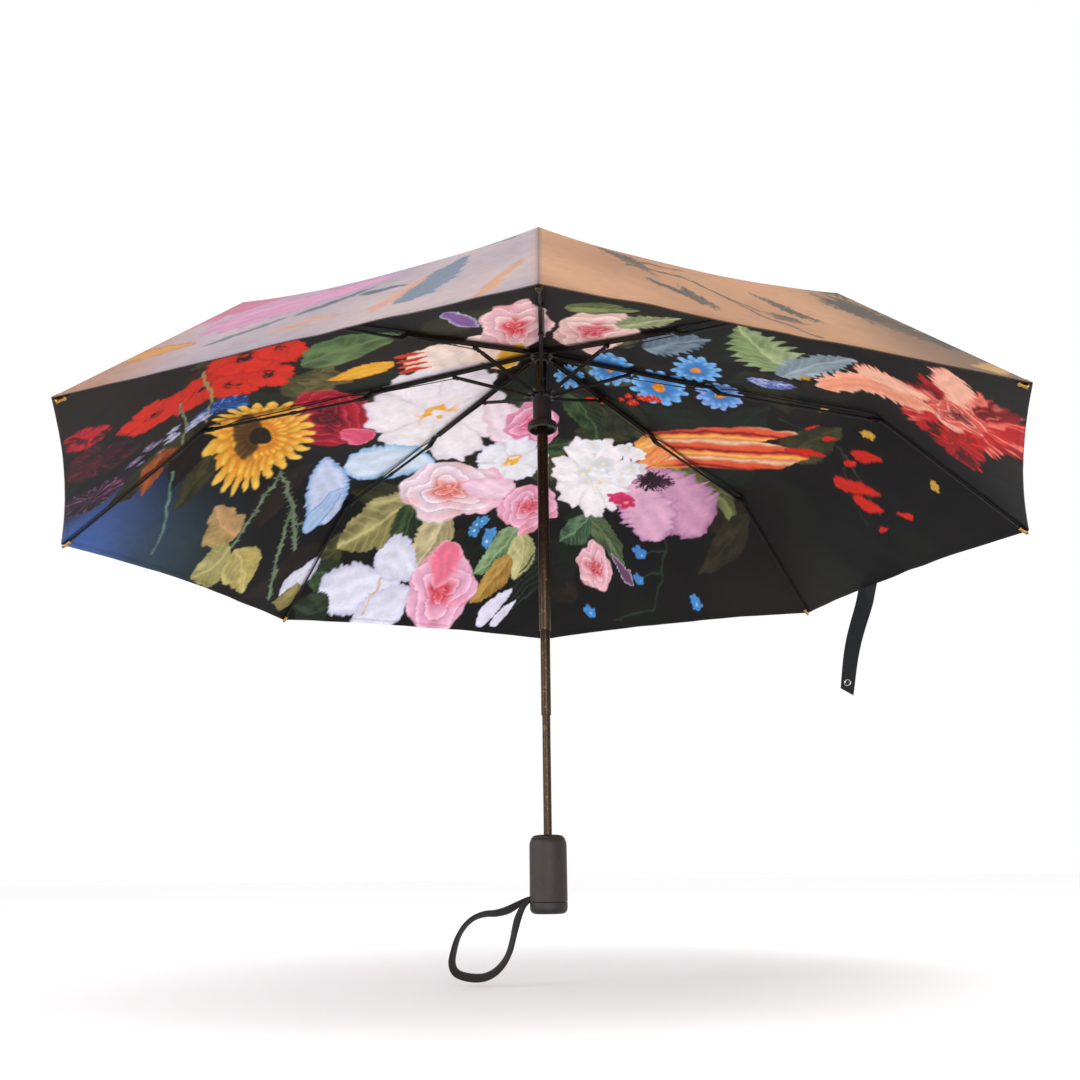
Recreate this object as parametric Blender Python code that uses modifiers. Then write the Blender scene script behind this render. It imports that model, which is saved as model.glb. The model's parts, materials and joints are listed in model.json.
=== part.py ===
"""An automatic folding umbrella with eight three-fold ribs, standing open on the base of its handle.

The origin is on the shaft's axis at the base of the handle. +Z runs up the shaft and -Y is the front.
A rib piece is built once in its own frame, X along the piece, Y across it and Z up off it, with its
origin on its pivot, and is then copied round the shaft.
"""

import math

import bmesh
import bpy
from mathutils import Matrix, Vector

MM = 0.001
GAP = 0.3 * MM  # kept between pieces that touch

# Shaft: three telescoping tubes, the widest at the top
LOWER_TUBE_RADIUS = 3.9 * MM
TUBE_WALL = 0.5 * MM
TUBE_PLAY = 0.35 * MM
LOWER_TUBE_SHOWN = 110.8 * MM
MIDDLE_TUBE_SHOWN = 82.9 * MM
TOP_TUBE_SHOWN = 298.8 * MM
TUBE_OVERLAP = 30.0 * MM

# Ribs: lengths between pivots, and slopes below the level when open
RIB_COUNT = 8
INNER_LENGTH = 174.0 * MM
INNER_SLOPE = math.radians(13.5)
INNER_HALF_WIDTH = 2.0 * MM
INNER_HALF_HEIGHT = 1.9 * MM
CHANNEL_WALL = 0.7 * MM
MIDDLE_LENGTH = 169.0 * MM
MIDDLE_SLOPE = math.radians(11.5)
MIDDLE_ROD_RADIUS = 1.5 * MM
MIDDLE_ROD_DROP = 5.0 * MM
OUTER_LENGTH = 190.0 * MM
OUTER_SLOPE = math.radians(43.0)
OUTER_ROD_RADIUS = 1.1 * MM
OUTER_ROD_RISE = 4.5 * MM
TIP_RADIUS = 1.6 * MM
STRETCHER_LENGTH = 86.0 * MM
STRETCHER_HALF_WIDTH = 1.6 * MM
STRETCHER_HALF_HEIGHT = 1.4 * MM
STRETCHER_DROP = 4.0 * MM  # of its pivot below the inner rib
LINK_ARM = 4.0 * MM
LINK_ARM_ANGLE = math.radians(-158.7)  # from the stretcher's own direction
LINK_WIRE_RADIUS = 0.5 * MM
PIN_RADIUS = 0.6 * MM
EYE_HALF_WIDTH = 1.0 * MM
EYE_RADIUS = 1.5 * MM
TANG_HALF_WIDTH = 0.85 * MM
TANG_RADIUS = 1.8 * MM
TANG_REACH = 8.0 * MM
CHEEK_WALL = 0.9 * MM
EAR_RADIUS = 2.2 * MM
EAR_INSET = 0.05 * MM  # of an ear into the groove it stands beside
EAR_PROUD = 0.15 * MM  # and out of the inner rib's side
LUG_OVERLAP = 3.0 * MM  # of an eye or a tang into its bar
LUG_TAPER = 0.2 * MM
LINK_ARM_RADIUS = 1.35 * MM
LINK_ARM_ROOT_RADIUS = 1.2 * MM
LINK_BEND = 1.0 * MM
MIDDLE_FORK_RADIUS = 2.0 * MM
MIDDLE_FORK_REACH = 9.0 * MM
MIDDLE_FORK_END_RADIUS = 1.7 * MM
MIDDLE_FERRULE_WALL = 0.7 * MM
MIDDLE_FERRULE_SPAN = (6.0 * MM, 16.0 * MM)  # along the rod from the pivot
KNUCKLE_HALF_LENGTH = 3.0 * MM
OUTER_FORK_RADIUS = 1.9 * MM
OUTER_FORK_REACH = 7.0 * MM
OUTER_FORK_END_RADIUS = 1.5 * MM
OUTER_FERRULE_WALL = 0.6 * MM
OUTER_FERRULE_SPAN = (5.0 * MM, 12.0 * MM)
PIN_SIDES = 6

# Crown and runner: slotted rings that hold the rib eyes on a wire
HUB_WALL = 1.75 * MM
RING_WIRE_RADIUS = 0.5 * MM
RING_FLANGE = 1.2 * MM
RING_RIM = 2.5 * MM  # beyond the wire
CROWN_NECK = 6.7 * MM
RUNNER_NECK_HEIGHT = 29.0 * MM
RUNNER_BELL_RADIUS = 15.2 * MM
RUNNER_BELL_HEIGHT = 7.5 * MM
RUNNER_BELL_WALL = 2.0 * MM
RUNNER_STEP = 1.5 * MM  # from the ring to the neck, and round the bore
RUNNER_FLARE = 4.0 * MM  # radius of the neck's curve into the bell
HUB_CHAMFER = 0.8 * MM
SLOT_DEPTH = 0.3 * MM  # of the eye slots into the hub
FINIAL_RADIUS = 9.0 * MM
FINIAL_HEIGHT = 4.4 * MM
FINIAL_RIM = 0.6 * MM
FINIAL_CHAMFER = 0.5 * MM
FINIAL_STEM = 8.0 * MM  # below the top of the crown

# Canopy
CLOTH_THICKNESS = 0.6 * MM
CANOPY_RISE = 4.2 * MM  # of the cloth above the inner ribs at the crown
SHOULDER_RISE = 3.4 * MM  # and above the joints further out
MIDDLE_SAG = 3.0 * MM
OUTER_SAG = 7.0 * MM
HEM_SAG = 2.0 * MM
HEM_HOLLOW = 8.0 * MM

# Handle
HANDLE_RADIUS = 17.3 * MM
HANDLE_HEIGHT = 69.5 * MM
HANDLE_WALL = 2.0 * MM
SHOULDER_HEIGHT = 8.0 * MM
SHOULDER_CURVE = ((1.0 * MM, 0.42), (3.6 * MM, 0.74))  # inset, and share of the shoulder's height
MOUTH_CLEARANCE = 0.4 * MM  # round the shaft at the handle's top
END_CAP_HEIGHT = 10.2 * MM
END_CAP_ROUND = 6.4 * MM
PLUG_LENGTH = 5.0 * MM  # of the end cap inside the shell
SPIGOT_LENGTH = 8.0 * MM  # of the end cap inside the lower tube
MOUTH_RIM = 2.2 * MM  # round the tube at the handle's top
SLEEVE_WALL = 1.0 * MM
SLEEVE_DROP = 3.0 * MM  # of its top below the shell's inner face
BUTTON_RADIUS = 6.0 * MM
BUTTON_HEIGHT = 44.0 * MM
BUTTON_PROUD = 1.5 * MM
BUTTON_FLANGE = 1.0 * MM
BUTTON_DOME = ((0.5, 0.25 * MM), (0.85, 0.9 * MM), (1.0, 1.8 * MM))  # share of radius, and drop
SPRING_WIRE_RADIUS = 0.35 * MM
MAIN_SPRING_TURNS = 12
BUTTON_SPRING_TURNS = 2.5

# Straps
STRAP_WIDTH = 20.0 * MM
STRAP_LENGTH = 125.0 * MM
STRAP_THICKNESS = 1.2 * MM
STRAP_SLANT = 6.5 * MM  # of its cut end
STRAP_TAB_LENGTH = 5.0 * MM
STRAP_RIB = 2  # the +X rib, counted from 0 at the front
STRAP_PLACE = 0.68  # along the hem from that rib to the next one
STRAP_LEAN = math.radians(16.0)
STRAP_TURN = math.radians(-25.0)  # of its face, from the front towards the shaft
SNAP_PLACE = 14.0 * MM  # above the strap's end
SNAP_RADIUS = 4.5 * MM
SNAP_THICKNESS = 1.6 * MM
WRIST_CORD_RADIUS = 1.9 * MM
WRIST_ENDS_APART = 4.2 * MM
WRIST_SLOT_HEIGHT = 13.6 * MM
WRIST_ROUTE = (  # one smooth loop from the handle and back: X, Y and Z in millimetres
    (-16.4, 2.1, 13.6),
    (-21.0, 2.0, 12.2),
    (-29.0, 1.7, 8.0),
    (-38.0, 1.3, 3.6),
    (-48.0, 0.9, 1.2),
    (-58.0, 0.5, 0.6),
    (-68.0, 0.2, -2.6),
    (-76.5, 0.0, -9.5),
    (-82.5, -0.3, -19.0),
    (-86.0, -0.6, -30.0),
    (-87.6, -0.9, -40.5),
    (-84.5, -1.2, -48.2),
    (-77.0, -1.5, -51.8),
    (-67.0, -1.7, -53.4),
    (-57.5, -1.9, -52.6),
    (-48.5, -2.0, -48.4),
    (-41.0, -2.1, -41.0),
    (-36.0, -2.2, -32.0),
    (-33.0, -2.2, -22.0),
    (-30.6, -2.2, -12.0),
    (-27.6, -2.2, -2.0),
    (-23.0, -2.2, 7.0),
    (-16.4, -2.1, 13.2),
)

# What follows from the sizes above
MIDDLE_TUBE_RADIUS = LOWER_TUBE_RADIUS + TUBE_PLAY + TUBE_WALL
TOP_TUBE_RADIUS = MIDDLE_TUBE_RADIUS + TUBE_PLAY + TUBE_WALL
TUBE_BORE = TOP_TUBE_RADIUS + GAP
MIDDLE_TUBE_END = HANDLE_HEIGHT + LOWER_TUBE_SHOWN
TOP_TUBE_END = MIDDLE_TUBE_END + MIDDLE_TUBE_SHOWN
CROWN_Z = TOP_TUBE_END + TOP_TUBE_SHOWN
HUB_RADIUS = TUBE_BORE + HUB_WALL
PIVOT_RADIUS = HUB_RADIUS + EYE_RADIUS + 2 * GAP
RING_OUTER = PIVOT_RADIUS + RING_RIM
RING_GROOVE = RING_WIRE_RADIUS + GAP
RING_HALF = RING_GROOVE + RING_FLANGE
EYE_REACH = RING_RIM + 2.5 * MM
CRANK_ANGLE = INNER_SLOPE + math.asin(STRETCHER_DROP / STRETCHER_LENGTH)
RUNNER_Z = CROWN_Z - 2 * STRETCHER_LENGTH * math.sin(CRANK_ANGLE)
CHEEK_INNER = TANG_HALF_WIDTH + 1.2 * GAP
CHEEK_OUTER = CHEEK_INNER + CHEEK_WALL
GROOVE_HALF_WIDTH = INNER_HALF_WIDTH - CHANNEL_WALL
EAR_INNER = GROOVE_HALF_WIDTH + EAR_INSET
EAR_OUTER = INNER_HALF_WIDTH + EAR_PROUD
LINK_LANE = max(CHEEK_OUTER, EAR_OUTER) + LINK_WIRE_RADIUS + GAP
SLEEVE_RADIUS = TUBE_BORE + SLEEVE_WALL
PLUG_TOP = END_CAP_HEIGHT + PLUG_LENGTH
WRIST_SLOT_HALF = WRIST_ENDS_APART / 2 + WRIST_CORD_RADIUS + 2 * GAP


def clear_scene():
    for old in list(bpy.data.objects):
        bpy.data.objects.remove(old, do_unlink=True)


def new_collection(name):
    made = bpy.data.collections.new(name)
    bpy.context.scene.collection.children.link(made)
    return made


def new_material(name, colour, roughness, metallic=0.0):
    made = bpy.data.materials.new(name)
    made.use_nodes = True
    shader = made.node_tree.nodes["Principled BSDF"]
    shader.inputs["Base Color"].default_value = (*colour, 1.0)
    shader.inputs["Roughness"].default_value = roughness
    shader.inputs["Metallic"].default_value = metallic
    return made


clear_scene()
UMBRELLA = new_collection("folding_umbrella")
CUTTERS = new_collection("cutters")
CUTTERS.hide_render = True

BLACK_STEEL = new_material("black_steel", (0.025, 0.022, 0.020), 0.38, 0.9)
BRIGHT_STEEL = new_material("bright_steel", (0.55, 0.54, 0.52), 0.30, 1.0)
BLACK_NYLON = new_material("black_nylon", (0.015, 0.014, 0.014), 0.50)
SOFT_GRIP = new_material("soft_grip", (0.045, 0.032, 0.027), 0.72)
DARK_CLOTH = new_material("printed_cloth", (0.10, 0.07, 0.06), 0.80)
STRAP_CLOTH = new_material("strap_cloth", (0.012, 0.012, 0.013), 0.85)


# Basic solids, each returned as a loose object in the cutters' collection


def add_object(name, data):
    made = bpy.data.objects.new(name, data)
    made.display_type = "WIRE"
    CUTTERS.objects.link(made)
    return made


def from_bmesh(name, shape):
    mesh = bpy.data.meshes.new(name)
    shape.to_mesh(mesh)
    shape.free()
    return add_object(name, mesh)


def box(low, high):
    low, high = Vector(low), Vector(high)
    shape = bmesh.new()
    place = Matrix.Translation((low + high) / 2) @ Matrix.Diagonal((*(high - low), 1.0))
    bmesh.ops.create_cube(shape, size=1.0, matrix=place)
    return from_bmesh("box", shape)


def bar(radius, start, end, sides=8):
    """A round bar between two points."""
    start, end = Vector(start), Vector(end)
    turn = (end - start).to_track_quat("Z", "X").to_matrix().to_4x4()
    shape = bmesh.new()
    bmesh.ops.create_cone(
        shape,
        cap_ends=True,
        segments=sides,
        radius1=radius,
        radius2=radius,
        depth=(end - start).length,
        matrix=Matrix.Translation((start + end) / 2) @ turn,
    )
    return from_bmesh("bar", shape)


def ball(radius, centre):
    shape = bmesh.new()
    bmesh.ops.create_uvsphere(
        shape, u_segments=8, v_segments=5, radius=radius, matrix=Matrix.Translation(centre)
    )
    return from_bmesh("ball", shape)


def as_mesh(obj, weld=1e-6):
    """Replaces an object by the mesh that its curve or modifiers make, with its caps welded."""
    bpy.context.view_layer.update()
    graph = bpy.context.evaluated_depsgraph_get()
    mesh = bpy.data.meshes.new_from_object(obj.evaluated_get(graph))
    shape = bmesh.new()
    shape.from_mesh(mesh)
    bmesh.ops.remove_doubles(shape, verts=shape.verts, dist=weld)
    bmesh.ops.recalc_face_normals(shape, faces=shape.faces)
    shape.to_mesh(mesh)
    shape.free()
    made = add_object(obj.name + "_mesh", mesh)
    made.matrix_world = obj.matrix_world.copy()
    bpy.data.objects.remove(obj, do_unlink=True)
    return made


def flat_curve(outline, half_thickness):
    curve = bpy.data.curves.new("outline", "CURVE")
    curve.dimensions = "2D"
    curve.fill_mode = "BOTH"
    curve.extrude = half_thickness
    spline = curve.splines.new("POLY")
    spline.points.add(len(outline) - 1)
    for point, (across, up) in zip(spline.points, outline):
        point.co = (across, up, 0.0, 1.0)
    spline.use_cyclic_u = True
    return add_object("plate", curve)


def plate(outline, y_low, y_high):
    """An outline in the XZ plane, as thick as from y_low to y_high."""
    made = flat_curve(outline, (y_high - y_low) / 2)
    made.matrix_world = Matrix.Translation((0, (y_low + y_high) / 2, 0)) @ Matrix.Rotation(
        math.pi / 2, 4, "X"
    )
    made = as_mesh(made)
    made.data.transform(made.matrix_world)
    made.matrix_world = Matrix.Identity(4)
    return made


def lug_outline(start, start_radius, end, end_radius, steps=3):
    """Two round ends joined by straight sides."""
    start, end = Vector(start), Vector(end)
    along = math.atan2(end.y - start.y, end.x - start.x)
    outline = []
    for centre, radius, first in ((end, end_radius, -0.5), (start, start_radius, 0.5)):
        for step in range(steps + 1):
            angle = along + math.pi * (first + step / steps)
            outline.append(
                (centre.x + radius * math.cos(angle), centre.y + radius * math.sin(angle))
            )
    return outline


def turned(name, profile, steps=28):
    """A closed profile of (radius, height) points, run round the Z axis."""
    mesh = bpy.data.meshes.new(name)
    ends = [(i, (i + 1) % len(profile)) for i in range(len(profile))]
    if min(radius for radius, _ in profile) <= 0.0:
        ends.pop()  # an open profile that starts and ends on the axis
    mesh.from_pydata([(radius, 0.0, height) for radius, height in profile], ends, [])
    made = add_object(name, mesh)
    screw = made.modifiers.new("turn", "SCREW")
    screw.steps = steps
    screw.render_steps = steps
    screw.use_merge_vertices = True
    screw.merge_threshold = 1e-6
    return as_mesh(made)


def wire(name, points, radius, roundness=1, cyclic=False):
    """A round wire through the points, with closed ends."""
    curve = bpy.data.curves.new(name, "CURVE")
    curve.dimensions = "3D"
    curve.bevel_depth = radius
    curve.bevel_resolution = roundness
    curve.use_fill_caps = True
    spline = curve.splines.new("POLY")
    spline.points.add(len(points) - 1)
    for point, place in zip(spline.points, points):
        point.co = (*place, 1.0)
    spline.use_cyclic_u = cyclic
    return add_object(name, curve)


def arc(centre, radius, first, last, steps):
    """Points of an arc in degrees, as (radius, height) pairs."""
    angles = [math.radians(first + (last - first) * i / steps) for i in range(steps + 1)]
    return [
        (centre[0] + radius * math.cos(a), centre[1] + radius * math.sin(a)) for a in angles
    ]


def join(base, others, operation="UNION"):
    """Unites the base with the others, or cuts them from it, and returns one mesh object."""
    for other in others:
        change = base.modifiers.new(operation.lower(), "BOOLEAN")
        change.operation = operation
        change.solver = "EXACT"
        change.object = other
    made = as_mesh(base)
    for other in others:
        bpy.data.objects.remove(other, do_unlink=True)
    return made


def cut(base, cutters):
    return join(base, cutters, "DIFFERENCE")


def finish(name, obj, material):
    """Names a finished piece, gives it its material and moves it into the umbrella."""
    obj.name = name
    obj.data.name = name
    obj.data.materials.clear()
    obj.data.materials.append(material)
    if obj.type == "MESH":
        obj.data.shade_smooth()
        obj.data.set_sharp_from_angle(angle=math.radians(35))
    obj.display_type = "TEXTURED"
    CUTTERS.objects.unlink(obj)
    UMBRELLA.objects.link(obj)
    return obj


# The rib linkage, worked out in the plane of one rib as (radius, height)


def along(origin, slope, forward, up=0.0):
    """The point forward along a slope below the level, and up at right angles to it."""
    return (
        origin[0] + forward * math.cos(slope) + up * math.sin(slope),
        origin[1] - forward * math.sin(slope) + up * math.cos(slope),
    )


CROWN_PIVOT = (PIVOT_RADIUS, CROWN_Z)
RUNNER_PIVOT = (PIVOT_RADIUS, RUNNER_Z)
STRETCHER_PIVOT = along(CROWN_PIVOT, CRANK_ANGLE, STRETCHER_LENGTH)
MIDDLE_PIVOT = along(CROWN_PIVOT, INNER_SLOPE, INNER_LENGTH)
OUTER_PIVOT = along(MIDDLE_PIVOT, MIDDLE_SLOPE, MIDDLE_LENGTH, -MIDDLE_ROD_DROP)
RIB_TIP = along(OUTER_PIVOT, OUTER_SLOPE, OUTER_LENGTH, OUTER_ROD_RISE)
LINK_PIVOT = along(
    STRETCHER_PIVOT,
    -CRANK_ANGLE,
    LINK_ARM * math.cos(LINK_ARM_ANGLE),
    LINK_ARM * math.sin(LINK_ARM_ANGLE),
)
LINK_END = along(MIDDLE_PIVOT, INNER_SLOPE, -4.0 * MM, -3.5 * MM)


def eye_cutter(pin_radius, x, z):
    """The running hole for a pin or wire that crosses a rib piece."""
    return bar(pin_radius + 1.2 * GAP, (x, -4 * MM, z), (x, 4 * MM, z), PIN_SIDES)


def inner_rib():
    """A channel open below, with an eye at the crown, ears for the stretcher and a tang at the joint."""
    pivot_x = STRETCHER_LENGTH * math.cos(CRANK_ANGLE - INNER_SLOPE)
    rib = box(
        (EYE_REACH, -INNER_HALF_WIDTH, -INNER_HALF_HEIGHT),
        (INNER_LENGTH - TANG_REACH, INNER_HALF_WIDTH, INNER_HALF_HEIGHT),
    )
    groove = box(
        (0.0, -GROOVE_HALF_WIDTH, -2 * INNER_HALF_HEIGHT),
        (INNER_LENGTH, GROOVE_HALF_WIDTH, INNER_HALF_HEIGHT - CHANNEL_WALL),
    )
    rib = cut(rib, [groove])
    overlap = EYE_REACH + LUG_OVERLAP
    eye = plate(
        lug_outline((0, 0), EYE_RADIUS, (overlap, 0), EYE_RADIUS), -EYE_HALF_WIDTH, EYE_HALF_WIDTH
    )
    tang_start = INNER_LENGTH - TANG_REACH - LUG_OVERLAP
    tang = plate(
        lug_outline((tang_start, 0), EYE_RADIUS, (INNER_LENGTH, 0), TANG_RADIUS),
        -TANG_HALF_WIDTH,
        TANG_HALF_WIDTH,
    )
    ear_root = -0.2 * INNER_HALF_HEIGHT
    ear_outline = [(pivot_x + EAR_RADIUS, ear_root), (pivot_x - EAR_RADIUS, ear_root)]
    ear_outline += arc((pivot_x, -STRETCHER_DROP), EAR_RADIUS, 180, 360, 6)
    ears = [
        plate(ear_outline, EAR_INNER, EAR_OUTER),
        plate(ear_outline, -EAR_OUTER, -EAR_INNER),
    ]
    pin = bar(
        PIN_RADIUS,
        (pivot_x, -(EAR_INNER + EAR_OUTER) / 2, -STRETCHER_DROP),
        (pivot_x, (EAR_INNER + EAR_OUTER) / 2, -STRETCHER_DROP),
        PIN_SIDES,
    )
    rib = join(rib, [eye, tang, *ears, pin])
    holes = [
        eye_cutter(RING_WIRE_RADIUS, 0, 0),
        eye_cutter(PIN_RADIUS, INNER_LENGTH, 0),
    ]
    return cut(rib, holes)


def stretcher():
    """A channel with an eye at the runner, and a tang with two holes at the inner rib."""
    bar_end = STRETCHER_LENGTH - TANG_REACH
    groove_half = STRETCHER_HALF_WIDTH - CHANNEL_WALL + EAR_INSET
    body = box(
        (EYE_REACH, -STRETCHER_HALF_WIDTH, -STRETCHER_HALF_HEIGHT),
        (bar_end, STRETCHER_HALF_WIDTH, STRETCHER_HALF_HEIGHT),
    )
    groove = box(
        (0.0, -groove_half, -2 * STRETCHER_HALF_HEIGHT),
        (STRETCHER_LENGTH, groove_half, STRETCHER_HALF_HEIGHT - CHANNEL_WALL),
    )
    body = cut(body, [groove])
    eye = plate(
        lug_outline((0, 0), EYE_RADIUS, (EYE_REACH + LUG_OVERLAP, 0), EYE_RADIUS - LUG_TAPER),
        -EYE_HALF_WIDTH,
        EYE_HALF_WIDTH,
    )
    tang = plate(
        lug_outline(
            (bar_end - LUG_OVERLAP, 0), EYE_RADIUS - LUG_TAPER, (STRETCHER_LENGTH, 0), TANG_RADIUS
        ),
        -TANG_HALF_WIDTH,
        TANG_HALF_WIDTH,
    )
    arm_x = STRETCHER_LENGTH + LINK_ARM * math.cos(LINK_ARM_ANGLE)
    arm_z = LINK_ARM * math.sin(LINK_ARM_ANGLE)
    arm = plate(
        lug_outline(
            (arm_x, arm_z),
            LINK_ARM_RADIUS,
            (STRETCHER_LENGTH - 1 * MM, 0.1 * MM),
            LINK_ARM_ROOT_RADIUS,
        ),
        -TANG_HALF_WIDTH + 0.03 * MM,
        TANG_HALF_WIDTH - 0.03 * MM,
    )
    body = join(body, [eye, tang, arm])
    holes = [
        eye_cutter(RING_WIRE_RADIUS, 0, 0),
        eye_cutter(PIN_RADIUS, STRETCHER_LENGTH, 0),
        eye_cutter(LINK_WIRE_RADIUS, arm_x, arm_z),
    ]
    return cut(body, holes)


def fork(end_radius, reach, rod_z, rod_end_radius):
    """Two cheeks from a pivot at the origin to a rod beside it, with the pin that joins them."""
    outline = lug_outline((0, 0), end_radius, (reach, rod_z), rod_end_radius)
    middle = (CHEEK_INNER + CHEEK_OUTER) / 2
    return [
        plate(outline, CHEEK_INNER, CHEEK_OUTER),
        plate(outline, -CHEEK_OUTER, -CHEEK_INNER),
        bar(PIN_RADIUS, (0, -middle, 0), (0, middle, 0), PIN_SIDES),
    ]


def middle_rib():
    """A rod hung below its pivot on a fork, with a knuckle half-way and a tang at the outer joint."""
    rod_z = -MIDDLE_ROD_DROP
    ferrule_radius = MIDDLE_ROD_RADIUS + MIDDLE_FERRULE_WALL
    ferrule_start, ferrule_end = MIDDLE_FERRULE_SPAN
    knuckle = MIDDLE_LENGTH / 2
    rod = bar(MIDDLE_ROD_RADIUS, (8 * MM, 0, rod_z), (MIDDLE_LENGTH - 6 * MM, 0, rod_z))
    pieces = [
        *fork(MIDDLE_FORK_RADIUS, MIDDLE_FORK_REACH, rod_z, MIDDLE_FORK_END_RADIUS),
        bar(ferrule_radius, (ferrule_start, 0, rod_z), (ferrule_end, 0, rod_z)),
        bar(
            ferrule_radius - 0.1 * MM,
            (knuckle - KNUCKLE_HALF_LENGTH, 0, rod_z),
            (knuckle + KNUCKLE_HALF_LENGTH, 0, rod_z),
        ),
        plate(
            lug_outline(
                (MIDDLE_LENGTH - TANG_REACH - 1 * MM, rod_z),
                MIDDLE_ROD_RADIUS - 0.15 * MM,
                (MIDDLE_LENGTH, rod_z),
                TANG_RADIUS,
            ),
            -TANG_HALF_WIDTH,
            TANG_HALF_WIDTH,
        ),
    ]
    rib = join(rod, pieces)
    return cut(rib, [eye_cutter(PIN_RADIUS, MIDDLE_LENGTH, rod_z)])


def outer_rib():
    """A thin rod above its pivot on a fork, ending in a ball tip."""
    rod_z = OUTER_ROD_RISE
    rod_start = (OUTER_FORK_REACH, 0, rod_z)
    rod = bar(OUTER_ROD_RADIUS, rod_start, (OUTER_LENGTH, 0, rod_z), PIN_SIDES)
    ferrule_start, ferrule_end = OUTER_FERRULE_SPAN
    pieces = [
        *fork(OUTER_FORK_RADIUS, OUTER_FORK_REACH, rod_z, OUTER_FORK_END_RADIUS),
        bar(
            OUTER_ROD_RADIUS + OUTER_FERRULE_WALL,
            (ferrule_start, 0, rod_z),
            (ferrule_end, 0, rod_z),
        ),
        ball(TIP_RADIUS, (OUTER_LENGTH, 0, rod_z)),
    ]
    return join(rod, pieces)


def link_wire():
    """A wire bent across at the stretcher, running beside the inner rib to the middle joint."""
    length = math.dist(LINK_PIVOT, LINK_END)
    points = [(0, -EYE_HALF_WIDTH - GAP, 0)]
    points += [
        (LINK_BEND + x, LINK_LANE - LINK_BEND + y, 0)
        for x, y in arc((0, 0), LINK_BEND, 180, 90, 3)
    ]
    points.append((length, LINK_LANE, 0))
    return as_mesh(wire("link_wire", points, LINK_WIRE_RADIUS, 1))


def copy_round(name, template, material, pivot, slope):
    """Puts one copy of a rib piece at its pivot on each rib."""
    for rib in range(RIB_COUNT):
        azimuth = -math.pi / 2 + 2 * math.pi * rib / RIB_COUNT
        piece = add_object("copy", template.data)
        piece.location = (pivot[0] * math.cos(azimuth), pivot[0] * math.sin(azimuth), pivot[1])
        piece.rotation_euler = (0.0, slope, azimuth)
        finish(f"{name}_{rib + 1}", piece, material)
    bpy.data.objects.remove(template, do_unlink=True)


def make_ribs():
    copy_round("top_rib", inner_rib(), BLACK_STEEL, CROWN_PIVOT, INNER_SLOPE)
    copy_round("stretcher", stretcher(), BLACK_STEEL, RUNNER_PIVOT, -CRANK_ANGLE)
    copy_round("middle_rib", middle_rib(), BLACK_STEEL, MIDDLE_PIVOT, MIDDLE_SLOPE)
    copy_round("outer_rib", outer_rib(), BLACK_STEEL, OUTER_PIVOT, OUTER_SLOPE)
    link_slope = math.atan2(LINK_PIVOT[1] - LINK_END[1], LINK_END[0] - LINK_PIVOT[0])
    copy_round("link_wire", link_wire(), BLACK_STEEL, LINK_PIVOT, link_slope)


def ring_slots(pivot_z):
    """Cutters for the slots that the rib eyes turn in."""
    slots = []
    for rib in range(RIB_COUNT):
        slot = box(
            (HUB_RADIUS - SLOT_DEPTH, -EYE_HALF_WIDTH - 1.3 * GAP, pivot_z - RING_HALF - 1 * MM),
            (RING_OUTER + 2 * MM, EYE_HALF_WIDTH + 1.3 * GAP, pivot_z + RING_HALF + 1 * MM),
        )
        slot.data.transform(Matrix.Rotation(2 * math.pi * rib / RIB_COUNT, 4, "Z"))
        slots.append(slot)
    return slots


def groove_profile(pivot_z):
    """The rim of a slotted ring, from its top edge down, with the groove for its wire."""
    groove_floor = PIVOT_RADIUS - RING_WIRE_RADIUS - GAP
    return [
        (RING_OUTER, pivot_z + RING_HALF),
        (RING_OUTER, pivot_z + RING_GROOVE),
        (groove_floor, pivot_z + RING_GROOVE),
        (groove_floor, pivot_z - RING_GROOVE),
        (RING_OUTER, pivot_z - RING_GROOVE),
        (RING_OUTER, pivot_z - RING_HALF),
    ]


def ring_wire(name, pivot_z):
    turns = 24
    points = [
        (PIVOT_RADIUS * math.cos(a), PIVOT_RADIUS * math.sin(a), pivot_z)
        for a in (2 * math.pi * i / turns for i in range(turns))
    ]
    made = as_mesh(wire(name, points, RING_WIRE_RADIUS, 1, cyclic=True))
    finish(name, made, BRIGHT_STEEL)


def make_crown():
    neck_bottom = CROWN_Z - RING_HALF - CROWN_NECK
    profile = [(TUBE_BORE, CROWN_Z + RING_HALF), *groove_profile(CROWN_Z)]
    profile += [
        (HUB_RADIUS, CROWN_Z - RING_HALF),
        (HUB_RADIUS, neck_bottom + HUB_CHAMFER),
        (HUB_RADIUS - HUB_CHAMFER, neck_bottom),
        (TUBE_BORE, neck_bottom),
    ]
    crown = cut(turned("crown", profile), ring_slots(CROWN_Z))
    finish("crown", crown, BLACK_NYLON)
    ring_wire("crown_wire", CROWN_Z)


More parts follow.
